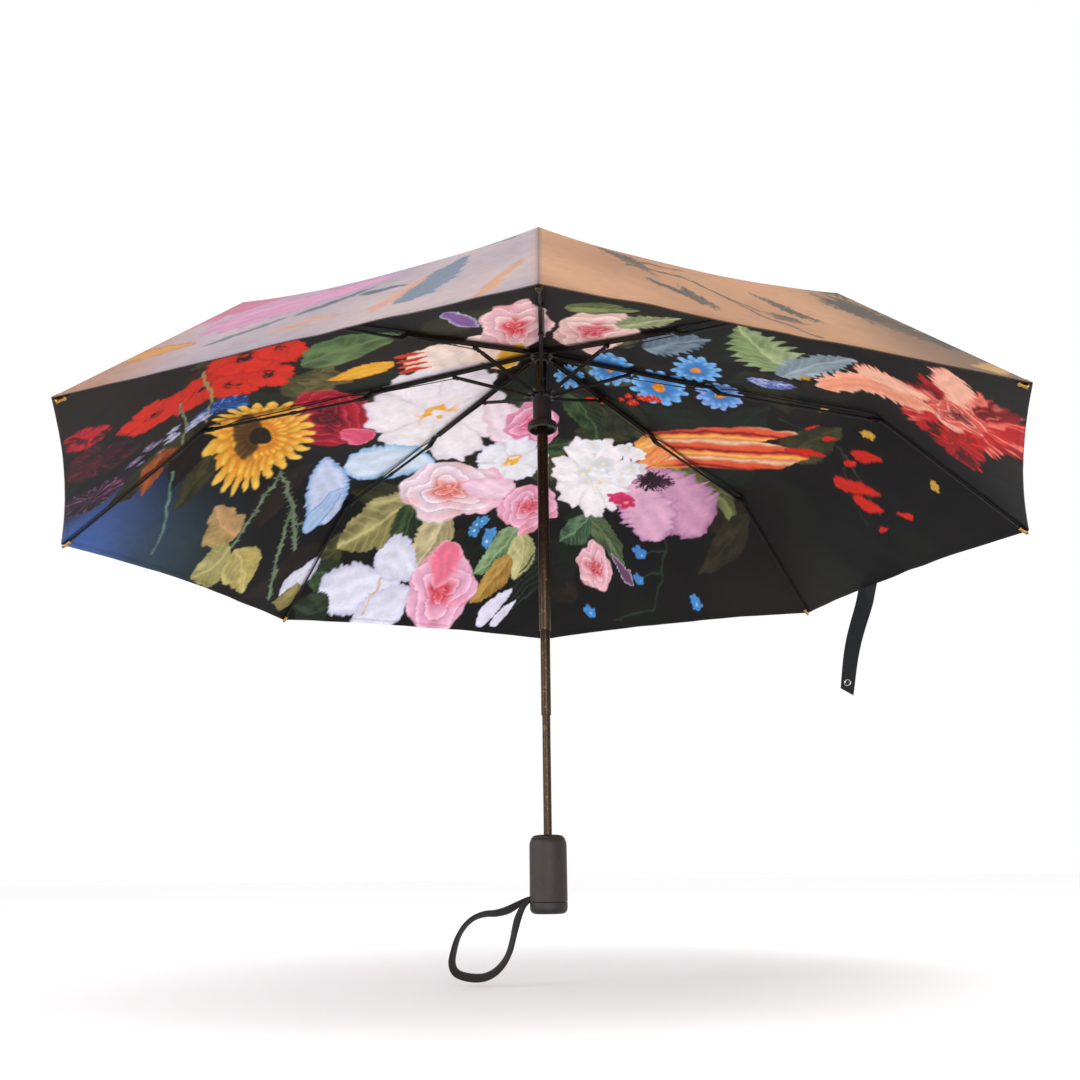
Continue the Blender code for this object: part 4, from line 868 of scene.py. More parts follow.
    # roses above the hub
    paintPetal(art, (-60, -120), (-86, -178), 34, rgb(130, 92, 150), lilac, seed=14)
    paintRose(art, (-24, -104), (38, 92), rgb(252, 196, 206), cream, rgb(228, 40, 56), layers=3, seed=6)
    paintPetal(art, (-20, -40), (-44, 20), 44, gold, cream, seed=15)
    blush = (rgb(252, 206, 200), cream, rgb(214, 44, 76))
    paintRose(art, (52, -96), (40, 84), *blush, layers=3, turn=10, seed=7)
    paintLeaf(art, (20, -168), (92, -176), 36, rgb(74, 88, 48), rgb(142, 150, 96), teeth=0, seed=25)
    moss, steelBlue = (rgb(112, 124, 82), rgb(178, 182, 140)), (rgb(74, 92, 108), rgb(136, 156, 168))
    paintLeaf(art, (70, -120), (128, -158), 40, *moss, teeth=10, tooth=0.4, seed=26)
    paintLeaf(art, (104, -60), (160, -120), 44, *steelBlue, teeth=10, tooth=0.4, seed=27)
    blueDaisies = (
        ((30, 38), (16, 22), rgb(130, 190, 240)),
        ((72, 6), (26, 38), rgb(130, 190, 240)),
        ((126, 24), (32, 36), rgb(130, 190, 240)),
        ((158, -36), (26, 38), rgb(130, 190, 240)),
        ((190, 18), (25, 28), rgb(150, 176, 232)),
    )
    for number, (place, half, tip) in enumerate(blueDaisies):
        paintDaisy(art, place, half, skyBlue, tip, rgb(230, 140, 30), count=12, rings=2, seed=number)
    for place in ((96, 62), (60, 74), (118, 52)):
        paintCluster(art, place, (10, 8), 5, 6, scarlet, rgb(240, 120, 60), seed=int(place[0]))
    # trumpets of red beside the white petals
    for step in range(4):
        paintPetal(art, (-112, -70 + 13 * step), (-146, -74 + 14 * step), 11, scarlet, orange, seed=step)
    # white cluster, mauve poppy, tulip and bud on the right
    paintLeaf(art, (48, 312), (112, 360), 34, rgb(70, 88, 60), rgb(112, 128, 88), teeth=12, seed=28)
    paintLeaf(art, (60, 318), (20, 366), 32, rgb(56, 82, 58), rgb(110, 140, 110), teeth=14, seed=29)
    paintPetal(art, (112, 190), (204, 300), 128, rgb(206, 150, 182), rgb(150, 96, 146), seed=16, ragged=0.10)
    paintPetal(art, (104, 214), (150, 322), 96, rgb(222, 170, 198), rgb(160, 104, 156), seed=17, ragged=0.10)
    poppyHeart = (rgb(52, 26, 44), rgb(32, 18, 30), rgb(120, 60, 100))
    paintFeather(art, (136, 224), (34, 30), poppyHeart, fray=0.6, seed=5)
    flames = (rgb(232, 90, 52), rgb(142, 22, 36), rgb(250, 186, 84), rgb(250, 208, 170))
    paintTulip(art, (118, 172), (296, 92), 104, flames, seed=1)
    paintPetal(art, (112, 210), (150, 150), 34, rgb(244, 150, 90), scarlet, seed=18)
    ivory = (rgb(250, 244, 246), rgb(238, 222, 236), rgb(240, 214, 130))
    paintBlossom(art, (62, 226), (54, 92), *ivory, count=7, seed=4)
    paintCluster(art, (78, 196), (42, 46), 16, 15, white, rgb(244, 230, 190), seed=34)
    paintCluster(art, (100, 266), (10, 12), 3, 13, hotPink, rgb(246, 150, 90), seed=35)
    paintRose(art, (68, 376), (25, 30), rgb(242, 186, 198), palePink, rgb(206, 40, 52), layers=2.6, seed=8)
    paintPetal(art, (92, 350), (118, 384), 15, rgb(110, 70, 100), lilac, seed=19)
    # jagged pale leaves, iris and red buds
    sage, ash = (rgb(112, 132, 88), rgb(178, 190, 140)), (rgb(110, 130, 140), rgb(170, 184, 190))
    paintLeaf(art, (250, -70), (176, -156), 62, *sage, teeth=9, tooth=0.5, seed=30)
    paintLeaf(art, (236, -60), (290, -140), 46, *ash, teeth=12, tooth=0.4, seed=31)
    paintFeather(art, (234, -34), (27, 15), (rgb(76, 100, 170), rgb(120, 130, 190), lilac), seed=6)
    buds = (
        ((300, 40), (286, 52), 8), ((322, 56), (308, 66), 9), ((318, 88), (274, 106), 16),
        ((366, 44), (336, 66), 16), ((344, 70), (334, 84), 9), ((372, 88), (328, 116), 24),
        ((382, 104), (352, 118), 20), ((392, 96), (404, 84), 9), ((388, 122), (380, 136), 9),
    )
    budTones = (rgb(206, 40, 24), rgb(120, 18, 20))
    for base, tip, width in buds:
        paintPetal(art, base, tip, width, *budTones, seed=base[0] % 5, ragged=0.12)
    # shaggy peony, far right
    peony = (rgb(196, 34, 40), rgb(140, 14, 28), rgb(244, 130, 110))
    paintFeather(art, (366, -180), (48, 118), peony, turn=4, seed=7)
    paintFeather(art, (384, -110), (26, 70), (rgb(170, 24, 30), rgb(110, 12, 22), scarlet), turn=-16, seed=9)
    paintPetal(art, (352, -150), (278, -48), 60, rgb(248, 160, 128), rgb(252, 206, 180), seed=20, ragged=0.2)
    paintPetal(art, (340, -170), (300, -110), 44, rgb(252, 190, 160), rgb(236, 110, 96), seed=23, ragged=0.16)
    paintPetal(art, (350, -190), (326, -262), 40, rgb(252, 186, 160), rgb(240, 120, 110), seed=21, ragged=0.2)
    paintPetal(art, (344, -176), (372, -134), 34, rgb(250, 176, 156), rgb(200, 60, 70), seed=22)
    paintRose(art, (360, -176), (20, 38), rgb(232, 96, 84), rgb(252, 190, 170), maroon, layers=2.6, seed=12)
    for place in ((262, -66), (300, 10), (345, 26), (410, 30)):
        paintCluster(art, place, (3, 3), 2, 5, rgb(206, 160, 60), gold, seed=int(place[0]))
    # more of the bunch on the front panels
    front = (
        ((-120, -250), (52, 46), rosePink, palePink, hotPink),
        ((70, -270), (56, 50), cream, white, rgb(232, 120, 80)),
        ((215, -260), (46, 44), crimson, hotPink, maroon),
        ((-230, -300), (44, 40), white, lilac, gold),
    )
    for number, (place, half, petal, lip, heart) in enumerate(front):
        for angle in np.radians((20, 140, 260)):
            tip = (place[0] + 78 * math.cos(angle), place[1] + 78 * math.sin(angle))
            paintLeaf(art, place, tip, 44, darkGreen, leafGreen, seed=40 + number)
        paintRose(art, place, half, petal, lip, heart, seed=number + 9)
    paintDaisy(art, (-20, -330), (44, 40), skyBlue, paleBlue, orange, count=14, rings=2, seed=2)
    paintDaisy(art, (150, -350), (38, 36), orange, yellow, rgb(60, 40, 20), count=20, rings=3, seed=3)
    paintCluster(art, (-60, -400), (60, 20), 14, 9, rgb(120, 170, 226), white, seed=36)
    return art.colours


def outsideGround(x, y):
    # Rosy grey on the left, warm tan on the right, browner towards both sides
    drift = 40 * (softNoise(x, y, 120, 40) - 0.5)
    clouds = softNoise(x, y, 55, 41)
    left = blendColours(rgb(190, 168, 168), rgb(160, 146, 158), clouds)
    right = blendColours(rgb(206, 152, 108), rgb(172, 118, 80), clouds)
    ground = blendColours(left, right, softStep(x + 0.3 * drift, -6, 6))
    ground = blendColours(ground, rgb(104, 80, 60), softStep(x + drift, 190, 330) * 0.85)
    return blendColours(ground, rgb(170, 112, 66), softStep(x + drift, -250, -340) * 0.8)


def paintOutside(x, y):
    art = Painter(x, y, outsideGround(x, y))
    petals = (  # peach, slate and pink strokes over the rosy side
        ((-18, -352), (-40, -300), 44, slate, rgb(140, 146, 156)),
        ((-52, -350), (-88, -420), 50, slate, rgb(96, 120, 168)),
        ((-10, -420), (-38, -470), 18, rgb(206, 150, 116), greyRose),
        ((-76, -360), (-110, -414), 20, rgb(210, 154, 130), greyRose),
        ((-92, -372), (-128, -352), 12, rgb(84, 94, 108), slate),
        ((-118, -344), (-176, -352), 13, rgb(88, 96, 110), slate),
        ((-100, -330), (-260, -300), 54, rgb(204, 140, 172), rgb(176, 130, 184)),
        ((-170, -270), (-330, -250), 60, rgb(196, 112, 140), rgb(214, 160, 190)),
        ((-130, -390), (-190, -372), 20, rgb(198, 150, 130), greyRose),
        ((-180, -350), (-240, -344), 12, rgb(110, 112, 124), slate),
        ((-250, -330), (-330, -300), 26, rgb(206, 140, 66), rgb(150, 92, 50)),
        ((-260, -250), (-380, -170), 40, rgb(190, 84, 60), rgb(210, 130, 90)),
        ((-60, -240), (-180, -180), 90, rgb(120, 132, 150), rgb(150, 150, 164)),
        ((-40, -120), (-200, -60), 100, rgb(196, 150, 176), rgb(220, 190, 200)),
        ((-120, 60), (-320, 20), 120, rgb(150, 134, 156), rgb(190, 160, 176)),
        ((-60, 160), (-200, 320), 130, rgb(206, 170, 150), rgb(186, 150, 160)),
        ((-200, 180), (-360, 240), 80, rgb(112, 124, 148), rgb(150, 150, 170)),
    )
    for number, (base, tip, width, colour, edge) in enumerate(petals):
        paintPetal(art, base, tip, width, colour, edge, seed=number, ragged=0.16)
    foliage = (  # dark sprays over the warm side
        ((40, -330), (86, -376), 26), ((66, -384), (124, -412), 22), ((92, -372), (118, -420), 20),
        ((150, -330), (204, -366), 26), ((150, -382), (190, -372), 16), ((206, -270), (290, -300), 64),
        ((180, -240), (300, -230), 70), ((250, -300), (330, -310), 40), ((110, -230), (60, -290), 40),
        ((260, -150), (380, -120), 90), ((60, -120), (180, -60), 90), ((240, 20), (380, 60), 90),
        ((80, 120), (200, 240), 110), ((220, 180), (330, 260), 70), ((20, 260), (60, 380), 60),
    )
    for number, (base, tip, width) in enumerate(foliage):
        middle, long, turn = spanOf(base, tip)
        tones = (rgb(74, 60, 44), rgb(98, 74, 52), rgb(62, 58, 40))
        paintFeather(art, middle, (long, width / 2), tones, turn=turn, fray=0.55, seed=number)
    twigs = (
        [(60, -370), (100, -350), (150, -380)],
        [(110, -352), (150, -390), (186, -398)],
        [(40, -345), (70, -350), (108, -330)],
    )
    for line in twigs:
        paintStem(art, line, 2.6, rgb(80, 60, 46))
    paintPetal(art, (300, -350), (336, -330), 22, rgb(196, 150, 84), rgb(150, 104, 62), seed=30)
    # roses and leaves on the top, seen only from above
    crownRoses = (
        (-60, 20, 60), (90, 60, 54), (20, -180, 50), (-150, 250, 56),
        (180, -40, 46), (-260, -60, 50), (110, 300, 50),
    )
    for number, (px, py, size) in enumerate(crownRoses):
        for angle in (70, 200, 320):
            turn = math.radians(angle + 31 * number)
            tip = (px + 1.5 * size * math.cos(turn), py + 1.5 * size * math.sin(turn))
            paintLeaf(art, (px, py), tip, 0.8 * size, rgb(96, 92, 66), rgb(150, 144, 104), seed=number)
        shades = (rgb(214, 150, 160), rgb(232, 200, 190), rgb(170, 70, 84))
        paintRose(art, (px, py), (size, size * 0.9), *shades, layers=4.2, seed=number + 2)
    return art.colours


print("print ready")


# Canopy

canopy = {
    "crownHole": (0.0056, 0.5662),
    "crownEdge": (0.01325, 0.5660),
    "overMiddle": (0.0008, 0.0033),  # of the cloth out from and above the middle joints
    "overOuter": (0.0036, 0.0070),
    "hem": (0.4879, 0.3590),
    "rowGap": 0.0018,
    "columnGap": 0.0018,
    "sag": (0.0, 0.0020, 0.0040, 0.0015),  # at mid panel: crown, middle joint, outer joint and hem
    "shoulderRound": 0.048,
    "hemHollow": 0.008,
    "halfThick": 0.00025,
    "hemBand": 0.006,
    "hemStep": 0.0004,
    "hemPlies": 1.4,  # of cloth more where the hem is turned
    "stitchWidths": (0.0011, 0.0016),  # of the darker lines along the hem and the seams
    "wrinkles": (0.0026, 0.0011, 0.0009),  # broad waves, folds one way and folds the other
    "wrinkleWide": 0.0012,  # of the pattern's unit across a panel, and along it
    "wrinkleLong": 0.001,
    "folded": 0.065,  # of each half panel's width left when the ribs are folded
}


def pivotOf(joint):  # radius and height of a joint's axis
    x, y, z = joints[joint]["pos_m"]
    return np.array((math.hypot(x, y), z))


lineCorners = np.array(
    [
        canopy["crownHole"],
        canopy["crownEdge"],
        pivotOf("middle_rib_1_hinge") + canopy["overMiddle"],
        pivotOf("outer_rib_1_hinge") + canopy["overOuter"],
        canopy["hem"],
    ]
)
lineReach = np.concatenate([[0.0], np.cumsum(np.hypot(*np.diff(lineCorners, axis=0).T))])
crownAt, middleAt, outerAt, hemAt = lineReach[1:]


def chordAt(reach):  # the straight distance between two ribs
    return 2 * np.interp(reach, lineReach, lineCorners[:, 0]) * math.sin(math.pi / ribCount)


def softLine():
    # The rib line averaged over a moving window, carried on straight beyond its ends
    gap = 0.0005
    reach = np.arange(-0.1, hemAt + 0.1, gap)
    radius = np.interp(reach, lineReach, lineCorners[:, 0])
    height = np.interp(reach, lineReach, lineCorners[:, 1])
    for line, column in ((radius, 0), (height, 1)):
        slope = (lineCorners[-1, column] - lineCorners[-2, column]) / (lineReach[-1] - lineReach[-2])
        line += np.maximum(reach - hemAt, 0.0) * slope
    window = np.hanning(2 * round(canopy["shoulderRound"] / gap) + 1)
    window /= window.sum()
    return reach, np.convolve(radius, window, "same"), np.convolve(height, window, "same")


softReach, softRadius, softHeight = softLine()


def clothPlace(panel, reach, across):
    # Between two ribs the cloth is their chord at that reach, less a sag; towards mid panel the
    # bend over the joints is rounded, the hem is hollowed and slight wrinkles run to the corners
    bow = 4 * across * (1 - across)
    pulled = canopy["hemHollow"] * bow / (hemAt - outerAt)
    reach = np.where(reach > outerAt, outerAt + (reach - outerAt) * (1 - pulled), reach)
    softness = bow**0.8 * softStep(reach, crownAt, crownAt + 0.08)
    radius = np.interp(reach, lineReach, lineCorners[:, 0])
    height = np.interp(reach, lineReach, lineCorners[:, 1])
    radius = radius + softness * (np.interp(reach, softReach, softRadius) - radius)
    height = height + softness * (np.interp(reach, softReach, softHeight) - height)
    height = height - bow * np.interp(reach, lineReach[1:], canopy["sag"])
    first, second = azimuthOf(panel), azimuthOf(panel + 1)
    x = radius * (math.cos(first) * (1 - across) + math.cos(second) * across)
    y = radius * (math.sin(first) * (1 - across) + math.sin(second) * across)
    wide = across * radius / canopy["wrinkleWide"]
    long = reach / canopy["wrinkleLong"] + 400 * panel
    broad = softNoise(wide, long, 85, 50) - 0.5
    folds = softNoise(wide + 0.35 * long, long * 0.35, 26, 51) - 0.5
    counter = softNoise(wide - 0.5 * long + 900, long * 0.3, 34, 52) - 0.5
    grow = softStep(reach, middleAt * 0.5, hemAt)
    first, second, third = canopy["wrinkles"]
    height = height + np.sqrt(bow) * grow * (first * broad + second * folds + third * counter)
    return np.stack([x, y, height], axis=-1)


def clothNormal(panel, reach, across):
    # The cross product of the slopes along and across, by small steps each way
    step, turn = 0.0012, 0.008
    along = clothPlace(panel, np.minimum(reach + step, hemAt), across)
    along = along - clothPlace(panel, np.maximum(reach - step, 0.0), across)
    aside = clothPlace(panel, reach, np.minimum(across + turn, 1.0))
    aside = aside - clothPlace(panel, reach, np.maximum(across - turn, 0.0))
    normal = np.cross(along, aside)
    return normal / np.linalg.norm(normal, axis=-1)[..., None]


printDepth = {"ground": 0.35, "until": 0.16, "outside": 0.56}  # how much light the dark ink gives back


def colourPanel(points, hemward, seamward):
    # Both prints at the plan places, darker along the stitching of hem and seams
    x, y = points[:, 0] / mm, points[:, 1] / mm
    hemLine, seamLine = canopy["stitchWidths"]
    stitch = np.exp(-(((hemward - canopy["hemBand"]) / hemLine) ** 2)) * 0.35
    stitch += np.exp(-((seamward / seamLine) ** 2)) * 0.45
    shade = (1 - np.clip(stitch, 0, 0.6))[:, None]
    inside = paintInside(x, y)
    deep = softStep(inside.mean(axis=1), 0.0, printDepth["until"])
    inside = inside * (printDepth["ground"] + (1 - printDepth["ground"]) * deep)[:, None]
    return paintOutside(x, y) * shade * printDepth["outside"], inside * shade


zones = (
    ("inner", "top_rib", 0.0, middleAt),
    ("middle", "middle_rib", middleAt, outerAt),
    ("outer", "outer_rib", outerAt, hemAt),
)


def makeHalfPanel(panel, side, zone, bodyName, start, end):
    # One half of one panel between two joints, as two layers of cloth closed along their edges
    rib = (panel + side) % ribCount
    widest = chordAt(end)
    rows = round((end - start) / canopy["rowGap"]) + 1
    columns = round(widest / 2 / canopy["columnGap"]) + 1
    reach = np.repeat(np.linspace(start, end, rows), columns)
    across = np.tile(np.linspace(0, 0.5, columns), rows)
    if side:
        across = 1 - across
    place, normal = clothPlace(panel, reach, across), clothNormal(panel, reach, across)
    bow = 4 * across * (1 - across)
    toHem = (hemAt - reach) * (1 - canopy["hemHollow"] * bow / (hemAt - outerAt))
    chord = chordAt(reach)
    toSeam = np.minimum(across, 1 - across) * chord
    inner, outer = canopy["hemBand"] + canopy["hemStep"], canopy["hemBand"] - canopy["hemStep"]
    thick = canopy["halfThick"] * (1 + canopy["hemPlies"] * softStep(toHem, inner, outer))
    upper = place + normal * thick[:, None]
    lower = place - normal * thick[:, None]
    count = len(place)
    body = gridFaces(rows, columns)
    edge, following = gridRim(rows, columns)
    rim = np.stack([edge, following, following + count, edge + count], axis=-1)
    top, bottom = body[:, ::-1], body + count
    if side:
        top, bottom, rim = top[:, ::-1], bottom[:, ::-1], rim[:, ::-1]
    faces = np.concatenate([top, bottom, rim])
    kind = np.concatenate([np.zeros(len(top)), np.ones(len(bottom)), np.zeros(len(rim))])
    name = f"canopy_{zone}_{panel + 1}{'b' if side else 'a'}"
    piece = meshPiece(
        name,
        np.concatenate([upper, lower]),
        faces,
        [outsideCloth, insideCloth],
        kind,
        np.concatenate([normal, -normal]),
    )
    outside, inside = colourPanel(place, toHem, toSeam)
    setPrint(piece, np.concatenate([outside, inside]))
    setUv(piece, np.tile(np.stack([across * chord, reach], axis=-1), (2, 1)))
    u = np.array([math.cos(azimuthOf(rib)), math.sin(azimuthOf(rib))])
    radius, height = (np.interp([start, end], lineReach, lineCorners[:, column]) for column in (0, 1))
    low = np.array([*(u * radius[0]), height[0]])
    direction = np.array([*(u * radius[1]), height[1]]) - low
    direction /= np.linalg.norm(direction)
    other = azimuthOf(panel + 1 - side)
    toward = np.array([math.cos(other) - u[0], math.sin(other) - u[1], 0.0])
    toward -= direction * (toward @ direction)
    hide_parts("canopy")
    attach(piece, f"{bodyName}_{rib + 1}")
    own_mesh(piece)


for panel in range(ribCount):
    for side in (0, 1):
        for zone in zones:
            makeHalfPanel(panel, side, *zone)
print("canopy ready")


# Seams under the ribs' lines and the small hardware on the ribs


seamSize = {"half": 0.0026, "drop": 0.0007, "rowGap": 0.003, "depth": 0.55, "hold": (0.006, -0.0018)}
seamOutline = (  # which side of the rib, share of the half width and share of the drop
    (1, 1.0, 0.30),
    (1, 0.55, 0.95),
    (0, 0.0, 1.0),
    (0, 0.55, 0.95),
    (0, 1.0, 0.30),
    (0, 0.5, 0.15),
    (0, 0.0, 0.15),
    (1, 0.5, 0.15),
)
seamRuns = (  # start, end, the two ribs and the joint between them as a corner of the rib line
    ("upper", 0.012, (middleAt + outerAt) / 2, "top_rib", "middle_rib", 2),
    ("lower", (middleAt + outerAt) / 2, hemAt - 0.001, "middle_rib", "outer_rib", 3),
)


def spotOn(rib, radius, height, aside=0.0):
    # A place in a rib's own plane, and off it along the ring
    angle = azimuthOf(rib)
    x = radius * math.cos(angle) - aside * math.sin(angle)
    y = radius * math.sin(angle) + aside * math.cos(angle)
    return np.array((x, y, height))


def makeSeam(rib, run):
    # A flat folded tape sewn under the seam, its two edges on the neighbouring panels
    name, start, end, first, second, joint = run
    rows = round((end - start) / seamSize["rowGap"]) + 1
    reach = np.linspace(start, end, rows)
    chord = chordAt(reach)
    sections = []
    for side, share, drop in seamOutline:
        panel = (rib - side) % ribCount
        part = np.clip(seamSize["half"] * share / chord, 0.0, 0.45)
        across = 1 - part if side else part
        under = clothNormal(panel, reach, across) * (seamSize["drop"] * drop + canopy["halfThick"])
        sections.append(clothPlace(panel, reach, across) - under)
    sides = len(sections)
    points = cappedRings(np.stack(sections, axis=1)).reshape(-1, 3)
    faces = gridFaces(rows + 2, sides, closed=True)
    piece = meshPiece(f"seam_{name}_{rib + 1}", points, faces, [insideCloth])
    setPrint(piece, paintInside(points[:, 0] / mm, points[:, 1] / mm) * seamSize["depth"])
    around, along = np.arange(sides) * 0.001, np.linspace(0, end - start, rows + 2)
    setUv(piece, np.stack([np.tile(around, rows + 2), along.repeat(sides)], axis=-1))
    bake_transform(piece)


def barBetween(start, end, radius, sides=16, soften=0.25):
    # A round bar from one place to another with softened rims
    start, end = np.array(start), np.array(end)
    length = np.linalg.norm(end - start)
    bend = min(radius, length) * soften
    profile = roundedProfile([(0, 0), (radius, 0), (radius, length), (0, length)], (bend, bend), 4)
    return turnedSurface(profile, sides, start, (end - start) / length)


pinSize = {"radius": 0.0014, "proud": 0.0008, "dome": 0.4}
pinPlaces = (  # name, joint, half the width of the ears and the rib that holds it
    ("middle", pivotOf("middle_rib_1_hinge"), 0.0021, "top_rib"),
    ("outer", pivotOf("outer_rib_1_hinge"), 0.0020, "middle_rib"),
    ("stretcher", pivotOf("stretcher_1_hinge"), 0.0021, "top_rib"),
)


def makePins(rib):
    # Peened heads on both sides of each rib joint
    for name, pivot, half, holder in pinPlaces:
        heads = []
        for side in (-1, 1):
            inner = spotOn(rib, *pivot, side * half)
            outer = spotOn(rib, *pivot, side * (half + pinSize["proud"]))
            heads.append(barBetween(inner, outer, pinSize["radius"], 18, pinSize["dome"]))
        points, faces = joined(heads)
        piece = meshPiece(f"pin_{name}_{rib + 1}", points, faces, [ribSteel])
        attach(piece, f"{holder}_{rib + 1}")


controlWire = {"radius": 0.0006, "rise": 0.0030, "inset": 0.009, "sag": 0.0006, "steep": 9, "points": 40}


def makeControlWire(rib):
    # The thin wire over the middle rod, hooked down to it at both ends
    inner, outer = pivotOf("middle_rib_1_hinge"), pivotOf("outer_rib_1_hinge")
    span = outer - inner
    length = np.hypot(*span)
    along = span / length
    up = np.array((-along[1], along[0]))
    base = inner + along * controlWire["inset"]
    reach = length - 2 * controlWire["inset"]
    line = []
    steep = controlWire["steep"]
    for share in np.linspace(0.0, 1.0, controlWire["points"]):
        lift = controlWire["rise"] * min(1.0, steep * share, steep * (1 - share))
        lift -= controlWire["sag"] * math.sin(math.pi * share)
        line.append(spotOn(rib, *(base + along * reach * share + up * lift)))
    piece = meshPiece(f"control_wire_{rib + 1}", *sweptTube(line, controlWire["radius"], 8), [rodSteel])
    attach(piece, f"middle_rib_{rib + 1}")


tipCap = {
    "radius": 0.0021,
    "length": 0.0085,
    "beyond": 0.0012,
    "under": (0.0023, 0.0025),  # of its end, in from the hem's corner and below it
    "bead": 0.0012,
    "bends": (0.0003, 0.0003, 0.0003, 0.0005, 0.0007),
}


def makeTipCap(rib):
    # A brass thimble on the rod's end, domed, with a bead at its mouth
    tip = lineCorners[-1] - tipCap["under"]
    elbow = pivotOf("outer_rib_1_hinge")
    outward = tip - elbow
    outward /= np.hypot(*outward)
    first = spotOn(rib, *(tip - outward * tipCap["length"]))
    axis = spotOn(rib, *tip) - first
    axis /= np.linalg.norm(axis)
    radius, bead, length = tipCap["radius"], tipCap["bead"], tipCap["length"] + tipCap["beyond"]
    profile = [(0, 0), (radius * 1.12, 0), (radius * 1.12, bead), (radius * 0.9, bead * 1.5)]
    profile += [(radius * 0.9, length - radius), (radius * 0.45, length - 0.0003), (0, length)]
    profile = roundedProfile(profile, tipCap["bends"], 4)
    piece = meshPiece(f"tip_cap_{rib + 1}", *turnedSurface(profile, 20, first, axis), [brassFinish])
    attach(piece, f"outer_rib_{rib + 1}")


for rib in range(ribCount):
    for run in seamRuns:
        makeSeam(rib, run)
    makePins(rib)
    makeControlWire(rib)
    makeTipCap(rib)
print("seams and rib hardware ready")


# Metal and plastic: the CAD's own ribs and hubs, and smooth shells for the turned parts


carriedFinishes = {
    "top_rib": ribSteel,
    "middle_rib": rodSteel,
    "outer_rib": rodSteel,
    "stretcher": ribSteel,
    "link_wire": rodSteel,
    "crown_wire": brightWire,
    "runner_wire": brightWire,
    "crown": hubNylon,
    "runner": hubNylon,
    "handle_sleeve": hubNylon,
    "shaft_spring": brightWire,
    "button_spring": brightWire,
}


def dressCarriedNodes():
    for name, node in nodes.items():
        kind = name.rstrip("0123456789").rstrip("_")
        if kind in carriedFinishes:
            for materialSlot in node.material_slots:
                materialSlot.material = carriedFinishes[kind]


def sizeOf(node):  # the radius, foot and top of an upright turned node
    low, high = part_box(node)
    return (high[0] - low[0]) / 2, low[2], high[2]


tube = {"wall": 0.0008, "boreDepth": 0.012, "rim": 0.00025, "sides": 72}
finial = {"stem": 0.0042, "height": 0.0044, "bends": (0.0004, 0.0004, 0.0003, 0.0003, 0.0012, 0.002)}


def makeTube(node, body):
    # The outside, a rolled rim at each end and the start of the bore
    radius, foot, top = sizeOf(node)
    wall, deep = tube["wall"], tube["boreDepth"]
    corners = [
        (radius - wall, foot + deep),
        (radius - wall, foot),
        (radius, foot),
        (radius, top),
        (radius - wall, top),
        (radius - wall, top - deep),
    ]
    profile = roundedProfile(corners, (tube["rim"],) * 4, 4)
    piece = meshPiece(f"{node}_smooth", *turnedSurface(profile, tube["sides"]), [shaftSteelPaintedGlint])
    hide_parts(node)
    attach(piece, body)


def makeFinial():
    # A low dome with a softened rim on a stem through the cloth
    radius, foot, top = sizeOf("finial_cap")
    base, stem = top - finial["height"], finial["stem"]
    corners = [(0, foot), (stem, foot), (stem, base), (radius - 0.0005, base), (radius, base + 0.0006)]
    corners += [(radius * 0.94, top - 0.0026), (radius * 0.55, top - 0.0004), (0, top)]
    profile = roundedProfile(corners, finial["bends"], 6)
    piece = meshPiece("finial_cap_smooth", *turnedSurface(profile, 96), [hubNylon])
    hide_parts("finial_cap")
    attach(piece, "top_tube")


dressCarriedNodes()
for node, body in (("lower_tube", "handle"), ("middle_tube", "middle_tube"), ("top_tube", "top_tube")):
    makeTube(node, body)
makeFinial()
print("shaft and hubs ready")


# Handle


handle = {
    "footLip": (0.002, 0.004),  # of the shell's turned-in lower edge, width and height
    "shoulder": (0.0042, 0.0052),  # how far it slopes in and where it starts below the top
    "crest": 0.0005,
    "neck": 0.0084,
    "mouth": (0.0018, 0.006),  # wall and depth of the lip round the shaft
    "bends": (0.0003, 0.0005, 0.0048, 0.003, 0.0011, 0.0006),
    "wall": 0.0012,
    "ringGap": 0.0015,
    "sides": 128,
    "slotHalf": 0.0044,  # of the wrist strap's slot
    "slotTop": 0.0160,
}
endCap = {"round": 0.0062, "seatIn": 0.0022, "seatRise": 0.003, "seam": 0.0003}
button = {"radius": 0.0060, "flange": 0.001, "dish": (0.0002, 0.0007), "round": 0.0009, "play": 0.0001}


def makeGrip():
    # The rubbered shell: a straight barrel, a soft shoulder and a lipped mouth round the shaft
    radius, foot, top = sizeOf("handle_shell")
    neck = handle["neck"]
    lip, rise = handle["footLip"]
    slope, start = handle["shoulder"]
    mouth, deep = handle["mouth"]
    corners = [
        (radius - lip, foot + rise),
        (radius - lip, foot),
        (radius, foot),
        (radius, top - start),
        (radius - slope, top - handle["crest"]),
        (neck, top),
        (neck - mouth, top),
        (neck - mouth, top - deep),
    ]
    profile = roundedProfile(corners, handle["bends"], 8)
    rings = [profile[0]]
    for first, second in zip(profile, profile[1:]):
        pieces = max(1, round(np.hypot(*(second - first)) / handle["ringGap"]))
        rings += [first + (second - first) * step / pieces for step in range(1, pieces + 1)]
    points, faces = turnedSurface(np.array(rings), handle["sides"])
    faces = faces[keepOutside(points[faces].mean(axis=1))]
    piece = meshPiece("grip", points, faces, [gripRubber])
    thicken(piece, handle["wall"])
    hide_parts("handle_shell")
    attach(piece, "handle")


def keepOutside(centres):
    # Faces outside the push button's hole and the wrist strap's slot
    low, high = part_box("push_button")
    place = ((low[0] + high[0]) / 2, (low[2] + high[2]) / 2)
    reach = (high[0] - low[0]) / 2 + button["play"]
    x, y, z = centres.T
    hole = (np.hypot(x - place[0], z - place[1]) < reach) & (y > 0)
    slot = (np.abs(y) < handle["slotHalf"]) & (z < handle["slotTop"]) & (x < 0)
    return ~(hole | slot)


